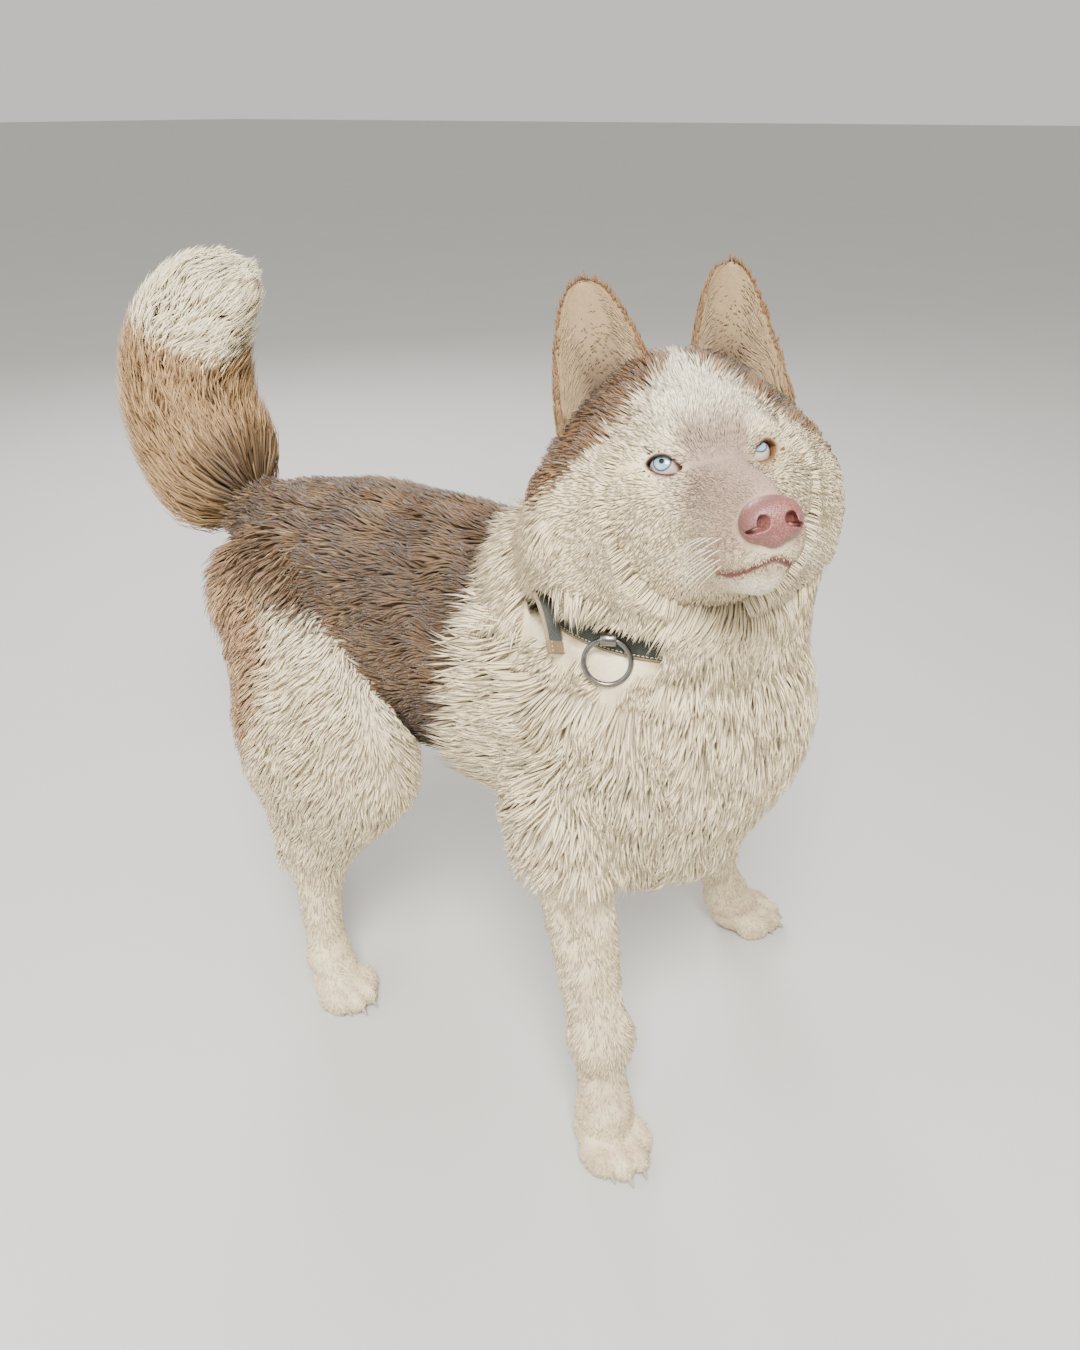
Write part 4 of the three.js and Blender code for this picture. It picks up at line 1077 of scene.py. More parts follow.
spots = roots_on(paw_skin, (paw_middle[:, 2] > 3) * ease(61, 58, paw_middle[:, 2]), 7000, 23)
comb("coat_paws", spots, steady(0, -0.6, -1), 6.5, 1.3, 1.3, leg_axis, steps=2, seed=24)

# %% [markdown]
# The head's hair is the finest. It is shortest on the muzzle and round the eyes, and lips, lids and nose
# stay bare.

# %% Crown and face
spots = roots_on(body_skin, crown, 7500, 10)
q = from_head(spots[0])
lift = 2 + 13 * ease(22, 70, q[:, 1]) * ease(-40, 20, q[:, 2])
comb("coat_crown", spots, head_lie, 12 + 0.7 * lift, 1.8, 0.8 * lift, head_axis, steps=2, seed=19)

face_middle = triangle_data(*face_skin)[0]
f = from_head(face_middle)
bare = np.minimum(opening(face_middle, -1), opening(face_middle, 1)) < 1.6
bare |= lip_distance(face_middle) < 2.2
bare |= nose_lumps(face_middle) < 1.5
bare |= f[:, 1] > 40
fine = 1 + 1.6 * ease(30, -60, f[:, 1])
spots = roots_on(face_skin, np.where(bare, 0, fine), 17000, 20)
q = from_head(spots[0])
grown = ease(-70, 30, q[:, 1])
near_eye = np.minimum(opening(spots[0], -1), opening(spots[0], 1))
short = 0.45 + 0.55 * ease(1, 12, near_eye)
size = short * (2.6 + 9 * grown)
width, height = 0.9 + 0.9 * grown, (0.7 + 2.6 * grown) * short
comb("coat_face", spots, head_lie, size, width, height, head_axis, steps=2, seed=21)

# %% [markdown]
# ## Ears
# Each ear is a cupped leaf that narrows to a rounded tip. Its back has short fur, its rim a soft edge, and
# long wisps grow from both edges across the cup.


# %% Ears and their fur
EAR_SIDES = 38


def ear(s):
    base, tip = on_head(48 * s, 76, 34), on_head(56 * s, 88, 140)
    up = unit(tip - base)
    forward = head_direction(0.2 * s, -1, 0.1)
    forward = unit(forward - (forward @ up) * up)
    side = unit(np.cross(up, forward))
    turn = np.linspace(-1, 1, EAR_SIDES // 2)
    loops = []
    for t in np.linspace(0, 1, 26):
        width = 40 * math.sqrt(max(0, 1 - t**1.8)) * (1 - 0.1 * t) + 2.2
        depth = 25 * (1 - t) ** 0.8 + 2.4
        wall = min(5.5 - 3 * t, depth - 1.2)
        spread = math.radians(100 - 18 * t)
        middle = base + (tip - base) * t - 4 * math.sin(math.pi * t) * forward
        rows = []
        for angles, inset in ((spread * turn, 0), (spread * 0.93 * turn[::-1], wall)):
            x = (width - inset) * np.sin(angles)
            y = -(depth - inset) * np.cos(angles) + 6 * (1 - t)
            rows.append(middle + x[:, None] * side + y[:, None] * forward)
        loops.append(np.vstack(rows))
    shape = skin_of_loops(np.array(loops), strip=True)
    return shape, base, up, side, forward


def ear_colours(base, up, side, inside):
    def colours(rows, draw):
        rise = (rows - base) @ up
        across = np.abs((rows - base) @ side) / 34
        if inside:
            # painted shade: the cup is painted darker low down and towards its middle, where its hollow lies
            # in shade
            hollow_shade = ease(82, 26, rise) * ease(0.85, 0.2, across)
            share = 0.85 * hollow_shade + 0.15 * draw.random(len(rows))
            return mix(EAR_INSIDE, EAR_PAINTED_SHADE, share)
        return mix(EAR_RIM, CAP_DARK, 0.6 * draw.random(len(rows)) * ease(20, 60, rise))

    return colours


ears = {}
for name, s in (("right", -1), ("left", 1)):
    shape, base, up, side, forward = ear(s)
    middle = triangle_data(*shape)[0]
    rise = (middle - base) @ up
    inner = (shape[1] % EAR_SIDES >= EAR_SIDES // 2).all(1)
    cup = inner & (rise > 6)
    inside = ear_colours(base, up, side, True)(shape[0], np.random.default_rng(1))
    back = ear_colours(base, up, side, False)(shape[0], np.random.default_rng(2))
    hue = mix(back, inside, np.arange(len(shape[0])) % EAR_SIDES >= EAR_SIDES // 2)
    # painted shade: the ear's skin is painted 0.85 times as bright as its hair, for the shade under the fur
    ears[name] = mesh_object("ear_skin_" + name, *shape, hue * 0.85, np.full(len(shape[0]), 0.4))
    axis = (base - 20 * up, base + 130 * up)
    spots = roots_on(shape, ~inner & (rise > -8), 2600, 30 + s)
    lie = steady(*(up - 0.1 * forward))
    tint = ear_colours(base, up, side, False)
    comb("coat_ear_" + name, spots, lie, 7, 1.7, 1.6, axis, steps=2, seed=31 + s, colours=tint)
    half_width = 38 * np.sqrt(1 - np.clip(rise / 108, 0, 0.98) ** 1.8)
    edge = ease(0.62, 0.95, np.abs((middle - base) @ side) / half_width)
    spots = roots_on(shape, cup * (0.12 + edge) * ease(100, 60, rise), 1300, 34 + s)
    lean = -np.sign((spots[0] - base) @ side)[:, None] * side

    def wisp_lie(rows, lean=lean):
        return unit(0.75 * lean + up * 0.9 + forward * 0.25)

    long = 5 + 11 * ease(0.25, 0.8, np.abs((spots[0] - base) @ side) / 34)
    tint = ear_colours(base, up, side, True)
    comb("coat_cup_" + name, spots, wisp_lie, long, 0.8, 2.5, axis, steps=2, seed=35 + s, colours=tint)

# %% [markdown]
# ## Skin, nose and eyes
# The skins take their colours from the same places as the hair on them. Each eyeball is a smooth ball,
# turned so that its front faces where the dog looks.


# %% Skins and eyes
def skin_object(name, skin, tip, shade=1.0):
    return mesh_object(name, *skin, coat_colour(skin[0]) * shade, np.full(len(skin[0]), tip))


def circle(count):
    """Places round a circle of radius 1."""
    turn = np.arange(count) * 2 * math.pi / count
    return np.stack([np.cos(turn), np.sin(turn)], -1)


def lathe(middle, forward, profile, sides):
    """Rings round an axis. profile has one (distance ahead, radius) for each ring."""
    across = unit(np.cross(forward, [0, 0.1, 1]))
    up = np.cross(across, forward)
    rim = circle(sides) @ np.stack([across, up])
    return np.array([middle + ahead * forward + radius * rim for ahead, radius in profile])


skin_body = skin_object("skin_body", body_skin, 0.25)
# the paws' skin is painted a little darker, as painted shade under its fur
skin_paws = skin_object("skin_paws", paw_skin, 0.45, 0.96)
skin_face = skin_object("skin_face", face_skin, 0.45)
nose_leather = mesh_object("nose_leather", *nose_skin)
eyes = {}
for name, s in (("right", -1), ("left", 1)):
    angles = np.linspace(0.02, math.pi - 0.02, 56)
    profile = [(EYE_RADIUS * math.cos(a), EYE_RADIUS * math.sin(a)) for a in angles]
    eyes[name] = mesh_object("eyeball_" + name, *skin_of_loops(lathe(eye_middle[s], gaze[s], profile, 72)))
skins = (skin_body, skin_paws, skin_face, nose_leather)
print({piece.name: len(piece.data.polygons) for piece in skins})

# %% [markdown]
# ## Claws and whiskers
# Both are tapering horns on a curved path. Each claw starts inside its toe, and the whiskers stand in
# four rows on the pads beside the nose.


# %% Sweeps, claws and whiskers
def sweep(path, across, profile, closed=False):
    """Loops along a path: each profile point is (along the across vector, along the normal)."""
    path = np.asarray(path, float)
    if closed:
        tangent = unit(np.roll(path, -1, 0) - np.roll(path, 1, 0))
    else:
        tangent = unit(np.gradient(path, axis=0))
    across = np.broadcast_to(across, path.shape)
    normal = unit(np.cross(tangent, across))
    a, b = np.array(profile).T
    return path[:, None] + across[:, None] * a[:, None] + normal[:, None] * b[:, None]


def tapered(path, across, radii, flat=0.75, sides=10):
    """A pointed horn or hair along a path."""
    loops = sweep(path, across, circle(sides) * [flat, 1])
    middle = np.asarray(path)[:, None]
    return skin_of_loops(middle + (loops - middle) * np.asarray(radii)[:, None, None])


claw_shapes = []
for name, paw in paws.items():
    size = paw.size
    for toe_x, toe_y, tilt in TOES:
        forward = unit(paw.turn @ point(math.sin(math.radians(tilt)), -1, 0))
        start = paw.place(toe_x, toe_y, 12) + 13.5 * size * forward
        t = np.linspace(0, 1, 9)[:, None]
        path = start + forward * 13 * size * t - point(0, 0, 7) * size * t**1.8
        radii = 3.6 * size * (1 - t[:, 0] ** 2 * 0.85)
        claw_shapes.append(tapered(path, unit(np.cross(forward, [0, 0, 1])), radii))
claws = mesh_object("claws", *several(claw_shapes))

draw = np.random.default_rng(40)
hairs = []
for s in (-1, 1):
    for row in range(4):
        for i in range(4):
            start = on_face((20 + 1.5 * row) * s, -84 + 9.5 * i + 3 * row, -46 - 5.5 * row)
            away = head_direction(s * 0.95, 0.05 + 0.16 * i, -0.22 - 0.08 * row + draw.normal(0, 0.05))
            droop = head_direction(0, 0.55, -0.8)
            t = np.linspace(0, 1, 9)[:, None]
            long = draw.uniform(20, 33)
            path = start + away * long * t + droop * long * 0.35 * t**2
            radii = 0.34 * (1 - t[:, 0]) + 0.05
            hairs.append(tapered(path, unit(np.cross(away, droop)), radii, flat=1, sides=5))
whiskers = mesh_object("whiskers", *several(hairs))
print("claws", len(claw_shapes), "whiskers", len(hairs))

# %% [markdown]
# ## Collar, ring and keeper
# A flat webbing strap goes round the neck under the fur. Its ends meet on the dog's right, where a steel
# plate holds a ring. A loose end of strap, with a folded and sewn tip, hangs beside them.

# %% Strap and loose end
BAND = [(-11, -0.9), (-10.6, -1.5), (-8, -1.3), (0, -1.4), (8, -1.3), (10.6, -1.5), (11, -0.9)]
BAND += [(a, -b) for a, b in BAND[::-1]]
turn = np.linspace(0.5 * math.pi, 2.5 * math.pi, 121)
sideways, backwards = COLLAR_RADII[0] * np.cos(turn), COLLAR_RADII[1] * np.sin(turn)
collar_path = COLLAR_MIDDLE + np.stack([sideways, backwards, COLLAR_SLOPE * backwards], -1)


def strap_mesh(name, path, across, profile):
    """A strap whose Weave map runs along it, and from -1 to 1 across it."""
    loops = sweep(path, across, profile)
    gone = np.concatenate([[0], np.cumsum(np.linalg.norm(np.diff(path, axis=0), axis=1))]) / 10
    across_band = np.array(profile)[None, :, 0] / max(a for a, _ in profile)
    places = np.stack(np.broadcast_arrays(gone[:, None], across_band), -1).reshape(-1, 2)
    places = np.vstack([places, [[gone[0], 0], [gone[-1], 0]]])
    return mesh_object(name, *skin_of_loops(loops), uv={"Weave": places})


strap = strap_mesh("collar_webbing", collar_path, COLLAR_TILT, BAND)
tab_top, tab_end = point(-86, 58, 538), point(-109.5, 31, 503)
tab_down = unit(tab_end - tab_top)
tab_wide = point(0.88, -0.24, -0.41)
tab_wide = unit(tab_wide - (tab_wide @ tab_down) * tab_down)
tab_out = np.cross(tab_wide, tab_down)
tab_out = tab_out * np.sign(tab_out @ point(-1, 0, 0.3))


def along_tab(start, end, count, over=0.0):
    """Places along the loose end's bow, from share start to share end of it."""
    t = np.linspace(start, end, count)[:, None]
    return tab_top + (tab_end - tab_top) * t + tab_out * (2.2 * np.sin(math.pi * np.minimum(t, 1)) + over)


tab = strap_mesh("collar_end", along_tab(0, 1, 25), tab_wide, [(a * 9.5 / 11, b) for a, b in BAND])
fold_profile = [(a * 10 / 11, b * 1.2) for a, b in BAND]
fold_loops = sweep(along_tab(0.84, 1.03, 15, 1.0), tab_wide, fold_profile)
fold = mesh_object("collar_fold", *skin_of_loops(fold_loops))
print({piece.name: len(piece.data.polygons) for piece in (strap, tab, fold)})

# %% [markdown]
# The ring is a bent wire, and its plate is a strip of steel bent over the wire.

# %% Ring and plate
WIRE, PLATE_BEND = 2.1, 4.45
ring_up = unit(point(0, 0, 1) - RING_OUT[2] * RING_OUT)
ring_along = np.cross(ring_up, RING_OUT)
ring_path = RING_AT + RING_RADIUS * circle(72) @ np.stack([ring_along, ring_up])
ring_loops = sweep(ring_path, RING_OUT, WIRE * circle(16), True)
ring = mesh_object("collar_ring_wire", *skin_of_loops(ring_loops, closed=True))
bend = np.linspace(-0.5 * math.pi, 0.5 * math.pi, 15)
arc = PLATE_BEND * np.stack([np.cos(bend), np.sin(bend)], -1)
ends = np.linspace(-7, -0.6, 6)
under, over = (np.stack([ends, np.full(6, side * PLATE_BEND)], -1) for side in (-1, 1))
plate = np.vstack([under, arc, over[::-1]])
top = RING_AT + RING_RADIUS * ring_up
plate_path = top + plate[:, :1] * RING_OUT + plate[:, 1:] * ring_up
edge = [(-6, -0.45), (-5.6, -0.75), (5.6, -0.75), (6, -0.45)]
edge += [(-a, -b) for a, b in edge]
keeper = mesh_object("ring_plate", *skin_of_loops(sweep(plate_path, np.cross(RING_OUT, ring_up), edge)))

# %% [markdown]
# ## Stitches
# A seam is one thread shape set down again and again along a line, so Geometry Nodes lay it: the line
# is cut into even steps, a small capsule lands on each, and the result becomes a plain mesh.


# %% Stitches by Geometry Nodes
def stitches(name, lines, spacing, thread):
    """Threads along several lines. spacing and thread (thickness, length) are in millimetres."""
    mesh = bpy.data.meshes.new(name + "_lines")
    edges, start = [], 0
    for path in lines:
        edges += [(start + i, start + i + 1) for i in range(len(path) - 1)]
        start += len(path)
    mesh.from_pydata(((np.vstack(lines) + SHIFT) / 1000).tolist(), edges, [])
    guide = bpy.data.objects.new(name + "_guide", mesh)
    bpy.context.collection.objects.link(guide)
    tree = bpy.data.node_groups.new(name + "_tree", "GeometryNodeTree")
    tree.interface.new_socket("Geometry", in_out="INPUT", socket_type="NodeSocketGeometry")
    tree.interface.new_socket("Geometry", in_out="OUTPUT", socket_type="NodeSocketGeometry")

    def add(kind, settings={}, links={}, values={}):
        node = tree.nodes.new(kind)
        for key, value in settings.items():
            setattr(node, key, value)
        for key, value in values.items():
            node.inputs[key].default_value = value
        for key, socket in links.items():
            tree.links.new(socket, node.inputs[key])
        return node

    entry = add("NodeGroupInput")
    line = add("GeometryNodeMeshToCurve", links={0: entry.outputs[0]})
    length = {"Length": spacing / 1000}
    even = add("GeometryNodeResampleCurve", {"mode": "LENGTH"}, {0: line.outputs[0]}, length)
    spots = add("GeometryNodeCurveToPoints", {"mode": "EVALUATED"}, {0: even.outputs[0]})
    bead = add("GeometryNodeMeshUVSphere", values={"Segments": 8, "Rings": 6, "Radius": 0.5})
    thin, long = (size / 1000 for size in thread)
    shape = add("GeometryNodeTransform", {}, {0: bead.outputs[0]}, {"Scale": (thin, thin, long)})
    links = {"Points": spots.outputs["Points"], "Rotation": spots.outputs["Rotation"]}
    links["Instance"] = shape.outputs[0]
    laid = add("GeometryNodeInstanceOnPoints", links=links)
    real = add("GeometryNodeRealizeInstances", links={0: laid.outputs[0]})
    thread_look = {"Material": thread_finish.material}
    finished = add("GeometryNodeSetMaterial", links={0: real.outputs[0]}, values=thread_look)
    add("NodeGroupOutput", links={0: finished.outputs[0]})
    guide.modifiers.new("stitches", "NODES").node_group = tree
    settled = guide.evaluated_get(bpy.context.evaluated_depsgraph_get())
    plain = bpy.data.meshes.new_from_object(settled)
    plain.name = name
    made = bpy.data.objects.new(name, plain)
    bpy.context.collection.objects.link(made)
    bpy.data.objects.remove(guide)
    print(name, len(plain.polygons), "faces")
    return made


# %% [markdown]
# ## Materials as arithmetic
# A small class wraps a socket, so that shader maths reads like maths. One method adds every node.


# %% Sockets that can be calculated with
class Value:
    """A socket of a material, which adds and multiplies like a number."""

    def __init__(self, finish, socket):
        self.finish, self.socket = finish, socket

    def math(self, operation, *others):
        inputs = dict(enumerate((self, *others)))
        node = self.finish.node("ShaderNodeMath", {"operation": operation}, inputs)
        return Value(self.finish, node.outputs[0])

    def __add__(self, other):
        return self.math("ADD", other)

    def __sub__(self, other):
        return self.math("SUBTRACT", other)

    def __mul__(self, other):
        return self.math("MULTIPLY", other)

    def between(self, low, high):
        """0 below low, 1 above high, and a smooth step from one to the other."""
        inputs = {"Value": self, "From Min": low, "From Max": high}
        node = self.finish.node("ShaderNodeMapRange", {"interpolation_type": "SMOOTHSTEP"}, inputs)
        return Value(self.finish, node.outputs[0])

    def blend(self, a, b):
        """The colour a where this is 0, and b where it is 1."""
        node = self.finish.node("ShaderNodeMix", {"data_type": "RGBA"}, {0: self, 6: a, 7: b})
        return Value(self.finish, node.outputs[2])

    def vector(self, operation, other):
        """Vector maths with a vector, or SCALE with a number. DOT_PRODUCT and LENGTH give a number."""
        slot = 3 if operation == "SCALE" else 1
        node = self.finish.node("ShaderNodeVectorMath", {"operation": operation}, {0: self, slot: other})
        return Value(self.finish, node.outputs[1 if operation in ("DOT_PRODUCT", "LENGTH") else 0])


class Finish:
    """One material. Fixed numbers of its surface are given when it is made."""

    def __init__(self, name, **fixed):
        self.material = bpy.data.materials.new(name)
        self.material.use_nodes = True
        self.tree = self.material.node_tree
        self.tree.nodes.clear()
        inputs = {key.replace("_", " ").title().replace("Ior", "IOR"): value for key, value in fixed.items()}
        self.surface = self.node("ShaderNodeBsdfPrincipled", {}, inputs)
        self.node("ShaderNodeOutputMaterial", {}, {"Surface": Value(self, self.surface.outputs[0])})

    def node(self, kind, settings, inputs):
        made = self.tree.nodes.new(kind)
        for key, value in settings.items():
            setattr(made, key, value)
        for key, value in inputs.items():
            self.put(made.inputs[key], value)
        return made

    def put(self, socket, value):
        if isinstance(value, Value):
            self.tree.links.new(value.socket, socket)
        elif isinstance(value, np.ndarray) and len(socket.default_value) == 4:
            socket.default_value = (*value.tolist(), 1)
        elif isinstance(value, np.ndarray):
            socket.default_value = value.tolist()
        else:
            socket.default_value = value

    def place(self):
        return Value(self, self.node("ShaderNodeTexCoord", {}, {}).outputs["Object"])

    def own(self, name, output="Color"):
        return Value(self, self.node("ShaderNodeAttribute", {"attribute_name": name}, {}).outputs[output])

    def noise(self, scale, detail=3.0, where=None):
        inputs = {"Vector": where or self.place(), "Scale": scale, "Detail": detail}
        return Value(self, self.node("ShaderNodeTexNoise", {}, inputs).outputs[0])

    def cells(self, scale):
        inputs = {"Vector": self.place(), "Scale": scale}
        return Value(self, self.node("ShaderNodeTexVoronoi", {}, inputs).outputs["Distance"])

    def bump(self, height, strength, distance):
        inputs = {"Strength": strength, "Distance": distance, "Height": height}
        self.set("Normal", Value(self, self.node("ShaderNodeBump", {}, inputs).outputs[0]))

    def set(self, name, value):
        self.put(self.surface.inputs[name], value)


# %% [markdown]
# ## Fur and skin
# Hair is painted darker at its root, as painted shade where little light gets in, and painted lighter at its
# tip. Slow noise varies both colour and gloss a little, as clumps of hair do.


# %% Fur, skin and nose
def fur(name, root, tip, rough):
    made = Finish(name, sheen_weight=0.12, sheen_roughness=0.4, specular_ior_level=0.3)
    along = made.own("Tip", "Fac")
    # painted shade at the root, rising to painted light at the tip
    shade = along * (tip - root) + root
    grain = made.noise(60.0) * 0.3 + 0.85
    made.set("Base Color", made.own("Hue").vector("SCALE", shade * grain))
    made.set("Roughness", made.noise(140.0) * 0.2 + rough)
    return made


def hide(name, shade):
    made = Finish(name, specular_ior_level=0.25)
    grain = made.noise(420.0, 4.0)
    # painted shade: the skin's colour is scaled by shade plus grain, darker than its hair, for the shade
    # under the coat
    made.set("Base Color", made.own("Hue").vector("SCALE", grain * 0.35 + shade))
    made.set("Roughness", grain * 0.2 + 0.6)
    made.bump(made.noise(1500.0, 4.0), 0.5, 0.0008)
    return made


long_fur = fur("long_fur", 0.82, 1.14, 0.55)
short_fur = fur("short_fur", 0.88, 1.08, 0.6)
hide_under = hide("hide_under_fur", 0.78)
hide_face = hide("hide_of_face", 0.78)

nose_finish = Finish("nose_leather", coat_roughness=0.3, specular_ior_level=0.5)
where = nose_finish.place()
middle_at = (on_head(0, -100, -38) + SHIFT) / 1000
offset = where.vector("SUBTRACT", middle_at)
sideways = offset.vector("DOT_PRODUCT", HEAD_TURN[:, 0])
upwards = offset.vector("DOT_PRODUCT", HEAD_TURN[:, 2])
dark_side = ((upwards - sideways) * 1000).between(2.0, 14.0)
patches = nose_finish.noise(240.0, 3.0).between(0.42, 0.62)
pink = patches.blend(colour(176, 112, 102), colour(150, 88, 82))
leather = (dark_side * 0.75).blend(pink, colour(84, 54, 52))
pebbles = nose_finish.cells(820.0)
nose_finish.set("Base Color", pebbles.between(0.0, 0.7).blend(leather, colour(120, 72, 66)))
nose_finish.set("Roughness", nose_finish.noise(500.0) * 0.25 + 0.3)
nose_finish.set("Coat Weight", nose_finish.noise(300.0).between(0.3, 0.7) * 0.5 + 0.2)
nose_finish.bump(pebbles * -1.0, 0.6, 0.0006)

# %% [markdown]
# ## Eyes
# The iris is pale blue with fine spokes, a darker ring round it and a small black pupil. All of that is
# worked out from the angle between a place on the ball and the direction of the gaze.


# %% Eyes
def eye_finish(name, s):
    made = Finish(name, coat_roughness=0.02, specular_ior_level=0.5, roughness=0.25)
    q = made.place().vector("SUBTRACT", (eye_middle[s] + SHIFT) / 1000).vector("SCALE", 1000 / EYE_RADIUS)
    ahead = q.vector("DOT_PRODUCT", gaze[s])
    angle = ahead.math("MINIMUM", 1.0).math("ARCCOSINE") * 57.3
    along = made.node("ShaderNodeVectorMath", {"operation": "SCALE"}, {0: gaze[s], 3: ahead})
    side = q.vector("SUBTRACT", Value(made, along.outputs[0]))
    spoke_place = side.vector("NORMALIZE", point(0, 0, 0))
    spokes = made.noise(7.0, 3.0, spoke_place)
    flecks = made.noise(5.0, 2.0, q)
    inner = angle.between(9.0, 22.0)
    iris = inner.blend(colour(104, 138, 164), colour(132, 170, 196))
    iris = (spokes.between(0.35, 0.7) * 0.5).blend(iris, colour(182, 206, 220))
    iris = (flecks.between(0.5, 0.8) * 0.25).blend(iris, colour(92, 118, 140))
    iris = angle.between(25.0, 32.0).blend(iris, colour(46, 58, 72))
    white = made.noise(3.0, 2.0, q).between(0.4, 0.8).blend(colour(196, 180, 168), colour(170, 136, 126))
    ball_colour = angle.between(32.5, 36.0).blend(iris, white)
    made.set("Base Color", angle.between(9.0, 10.6).blend(colour(8, 8, 9), ball_colour))
    made.set("Coat Weight", angle.between(60.0, 90.0) * -0.3 + 1.0)
    return made


eye_finishes = {"right": eye_finish("eye_right_finish", -1), "left": eye_finish("eye_left_finish", 1)}

# %% [markdown]
# ## Claws, whiskers and the collar
# Webbing is woven: two waves along and across the strap raise its threads. Its edges are bound in a pale
# thread, and the steel has fine wear.


# %% Horn, hair, webbing and steel
def grained(name, scales, low, high, swing, rough, **fixed):
    """Two colours parted by one noise and a gloss varied by another, each with a scale of its own."""
    made = Finish(name, **fixed)
    made.set("Base Color", made.noise(scales[0]).blend(colour(*low), colour(*high)))
    made.set("Roughness", made.noise(scales[1]) * swing + rough)
    return made


def woven(name, base, light, border):
    made = Finish(name, sheen_weight=0.2, specular_ior_level=0.3)
    place = made.own("Weave", "Vector")
    split = made.node("ShaderNodeSeparateXYZ", {}, {0: place})
    along, across = Value(made, split.outputs[0]), Value(made, split.outputs[1])
    lines = (along * 28.0).math("SINE") * (across * 38.0).math("SINE")
    cloth = lines.between(-0.6, 1.0).blend(base, light)
    grain = made.noise(260.0, 4.0)
    cloth = (grain.between(0.35, 0.8) * 0.5).blend(cloth, light)
    edge_share = across.math("ABSOLUTE").between(0.78, 0.84)
    made.set("Base Color", edge_share.blend(cloth, border))
    made.set("Roughness", grain * 0.25 + 0.65)
    made.bump(lines + grain * 0.6, 0.6, 0.0006)
    return made


shine = {"specular_ior_level": 0.5}
horn = grained("claw_horn", (160.0, 600.0), (150, 132, 112), (206, 192, 172), 0.3, 0.25, **shine)
hair = grained("whisker_hair", (60.0, 300.0), (196, 184, 162), (240, 234, 222), 0.2, 0.35)
thread_finish = grained("seam_thread", (500.0, 900.0), (170, 156, 128), (214, 202, 176), 0.2, 0.6)
webbing = woven("collar_webbing", colour(34, 38, 34), colour(66, 70, 60), colour(150, 132, 104))
fold_finish = Finish("collar_fold", sheen_weight=0.2)
cloth = fold_finish.noise(700.0, 5.0)
fold_finish.set("Base Color", cloth.blend(colour(98, 78, 54), colour(148, 122, 86)))
fold_finish.set("Roughness", cloth * 0.2 + 0.7)
fold_finish.bump(cloth, 0.6, 0.0006)
steel = Finish("ring_steel", metallic=1.0)
wear = steel.noise(220.0, 5.0)
steel.set("Base Color", wear.blend(colour(92, 90, 88), colour(150, 148, 144)))
steel.set("Roughness", wear * 0.25 + 0.18)
steel.bump(steel.noise(1400.0), 0.15, 0.0002)

# %% [markdown]
# Two rows of thread run along the strap, and two more over the folded tip.

# %% Seams
SEAM_OUT = 1.75
rows = [collar_path + COLLAR_TILT * side for side in (-7.2, 7.2)]
rows = [row + unit((row - COLLAR_MIDDLE) * [1, 1, 0]) * SEAM_OUT for row in rows]
strap_seams = stitches("collar_seams", rows, 3.4, (0.9, 2.4))
rows = [along_tab(0.87, 1.0, 20, 2.9) + tab_wide * side for side in (-7, 7)]
tab_seams = stitches("fold_seams", rows, 2.6, (0.9, 1.9))

# %% [markdown]
# ## Dressing the frame
# Each piece gets its finish and rides on the frame, and the imported solids that it stands for are hidden.

# %% Finishes, frame and hidden solids
FLESH = ["chest", "barrel", "neck", "head", "muzzle", "rump", "tail_root", "tail_middle", "tail_tip"]
for side in ("right", "left"):
    FLESH += [part + "_" + side for part in ("foreleg", "forepaw", "thigh", "gaskin", "hock", "hindpaw")]
SHORT = ["coat_face", "coat_paws", "coat_by_collar", "coat_crown", "coat_legs"]
SHORT += [part + side for part in ("coat_ear_", "coat_cup_") for side in ears]
dressed = [(piece, short_fur if piece.name in SHORT else long_fur, "coat_white") for piece in coats]
dressed += [(skin_body, hide_under, "coat_white"), (skin_face, hide_face, "coat_white")]
dressed += [(skin_paws, hide_face, "coat_white")]
dressed += [(ears[side], hide_face, "coat_tan") for side in ears]
dressed += [(nose_leather, nose_finish, "nose_leather")]
dressed += [(eyes[side], eye_finishes[side], "iris") for side in eyes]
dressed += [(claws, horn, None), (whiskers, hair, None)]
dressed += [(strap, webbing, "webbing"), (tab, webbing, "webbing"), (fold, fold_finish, None)]
dressed += [(strap_seams, thread_finish, None), (tab_seams, thread_finish, None)]
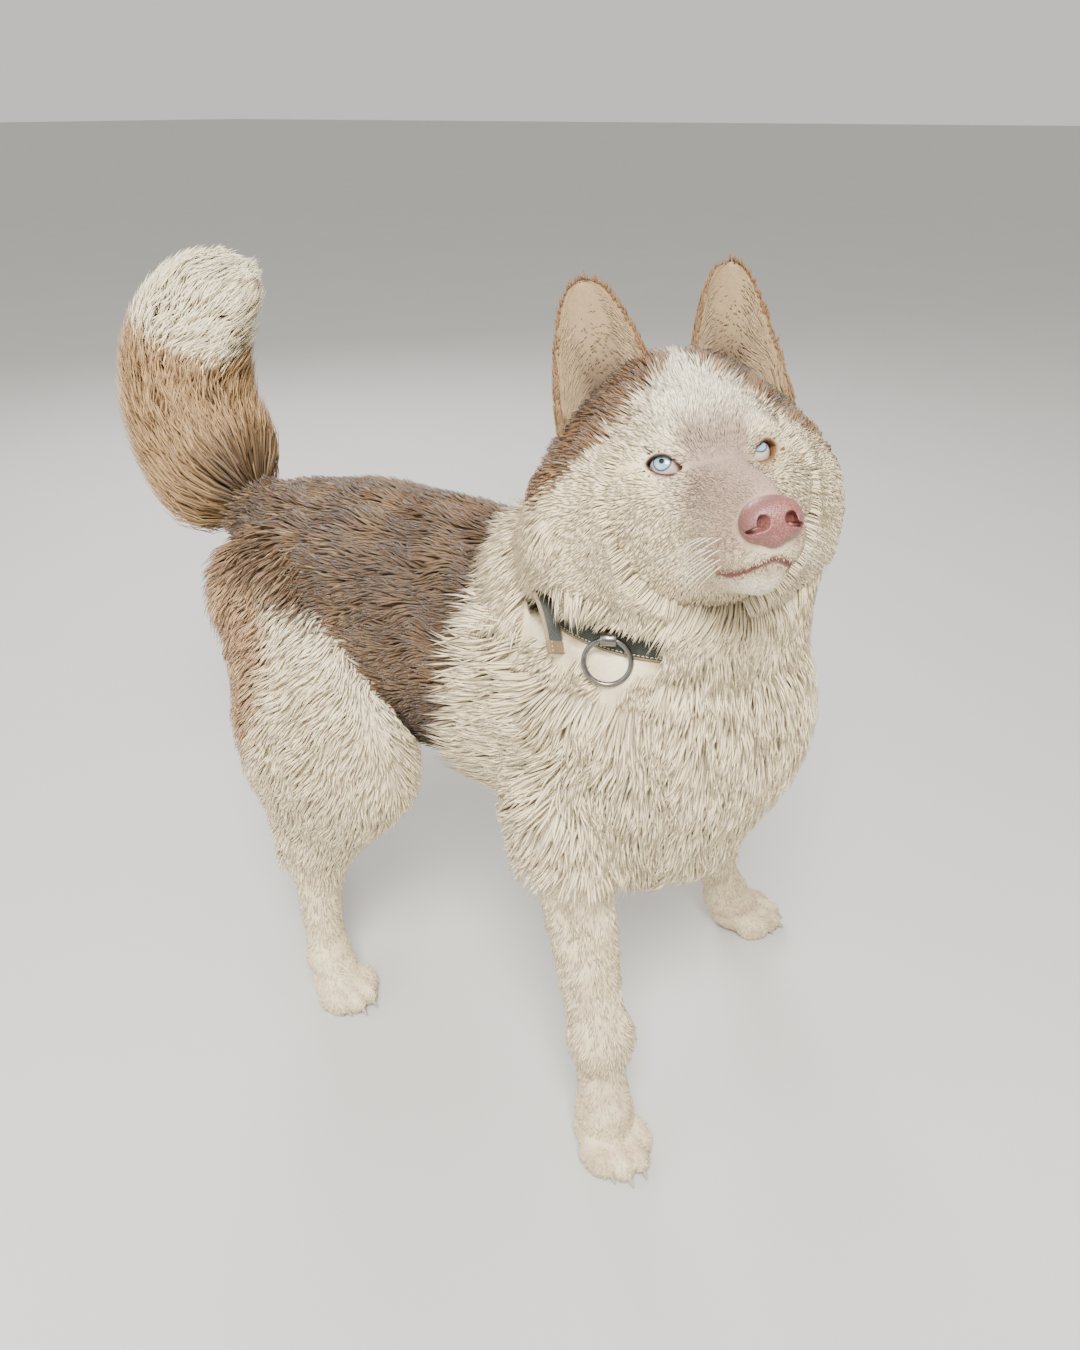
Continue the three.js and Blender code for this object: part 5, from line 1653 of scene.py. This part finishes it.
dressed += [(ring, steel, "ring_steel"), (keeper, steel, "ring_steel")]
for piece, finish, slot in dressed:
    piece.data.materials.clear()
    piece.data.materials.append(finish.material)
    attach(piece, "root")
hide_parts(*FLESH)
for side in ("right", "left"):
    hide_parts("ear_" + side)
    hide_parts("eye_" + side)
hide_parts("nose")
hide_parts("collar_strap")
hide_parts("collar_tab")
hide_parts("collar_ring")
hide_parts("ring_keeper")
print(len(dressed), "pieces,", sum(len(piece.data.polygons) for piece, _, _ in dressed), "faces")

# %% [markdown]
# ## Floor and light
# A plain pale floor, and soft light from three large panels with an even glow from all round.

# %% Floor, lamps and world
floor_mesh = bpy.data.meshes.new("floor")
floor_mesh.from_pydata([(-60, -60, 0), (60, -60, 0), (60, 60, 0), (-60, 60, 0)], [], [(0, 1, 2, 3)])
floor = bpy.data.objects.new("floor", floor_mesh)
bpy.context.collection.objects.link(floor)
floor_finish = grained("floor_finish", (3.0, 8.0), (196, 194, 190), (202, 200, 196), 0.1, 0.8)
floor_mesh.materials.append(floor_finish.material)


def panel(name, at, power, size, tint=(1, 1, 1)):
    lamp = bpy.data.lights.new(name, "AREA")
    lamp.energy, lamp.size, lamp.color = power, size, tint
    held = bpy.data.objects.new(name, lamp)
    back = unit(point(*at) - point(-0.03, -0.1, 0.45))
    right = unit(np.cross([0, 0, 1], back))
    turn = np.eye(4)
    turn[:3, :3] = np.stack([right, np.cross(back, right), back], -1)
    turn[:3, 3] = at
    held.matrix_world = Matrix(turn.tolist())
    bpy.context.collection.objects.link(held)


panel("key", (-1.5, -0.9, 2.5), 175, 1.0, (1, 0.98, 0.95))
panel("fill", (-2.2, 1.2, 1.4), 30, 1.8, (0.95, 0.97, 1))
panel("rim", (1.6, 1.6, 2.0), 60, 1.2, (1, 0.99, 0.97))
world = bpy.data.worlds.new("glow")
world.use_nodes = True
world.node_tree.nodes["Background"].inputs["Color"].default_value = (1, 0.98, 0.95, 1)
world.node_tree.nodes["Background"].inputs["Strength"].default_value = 0.78
bpy.context.scene.world = world
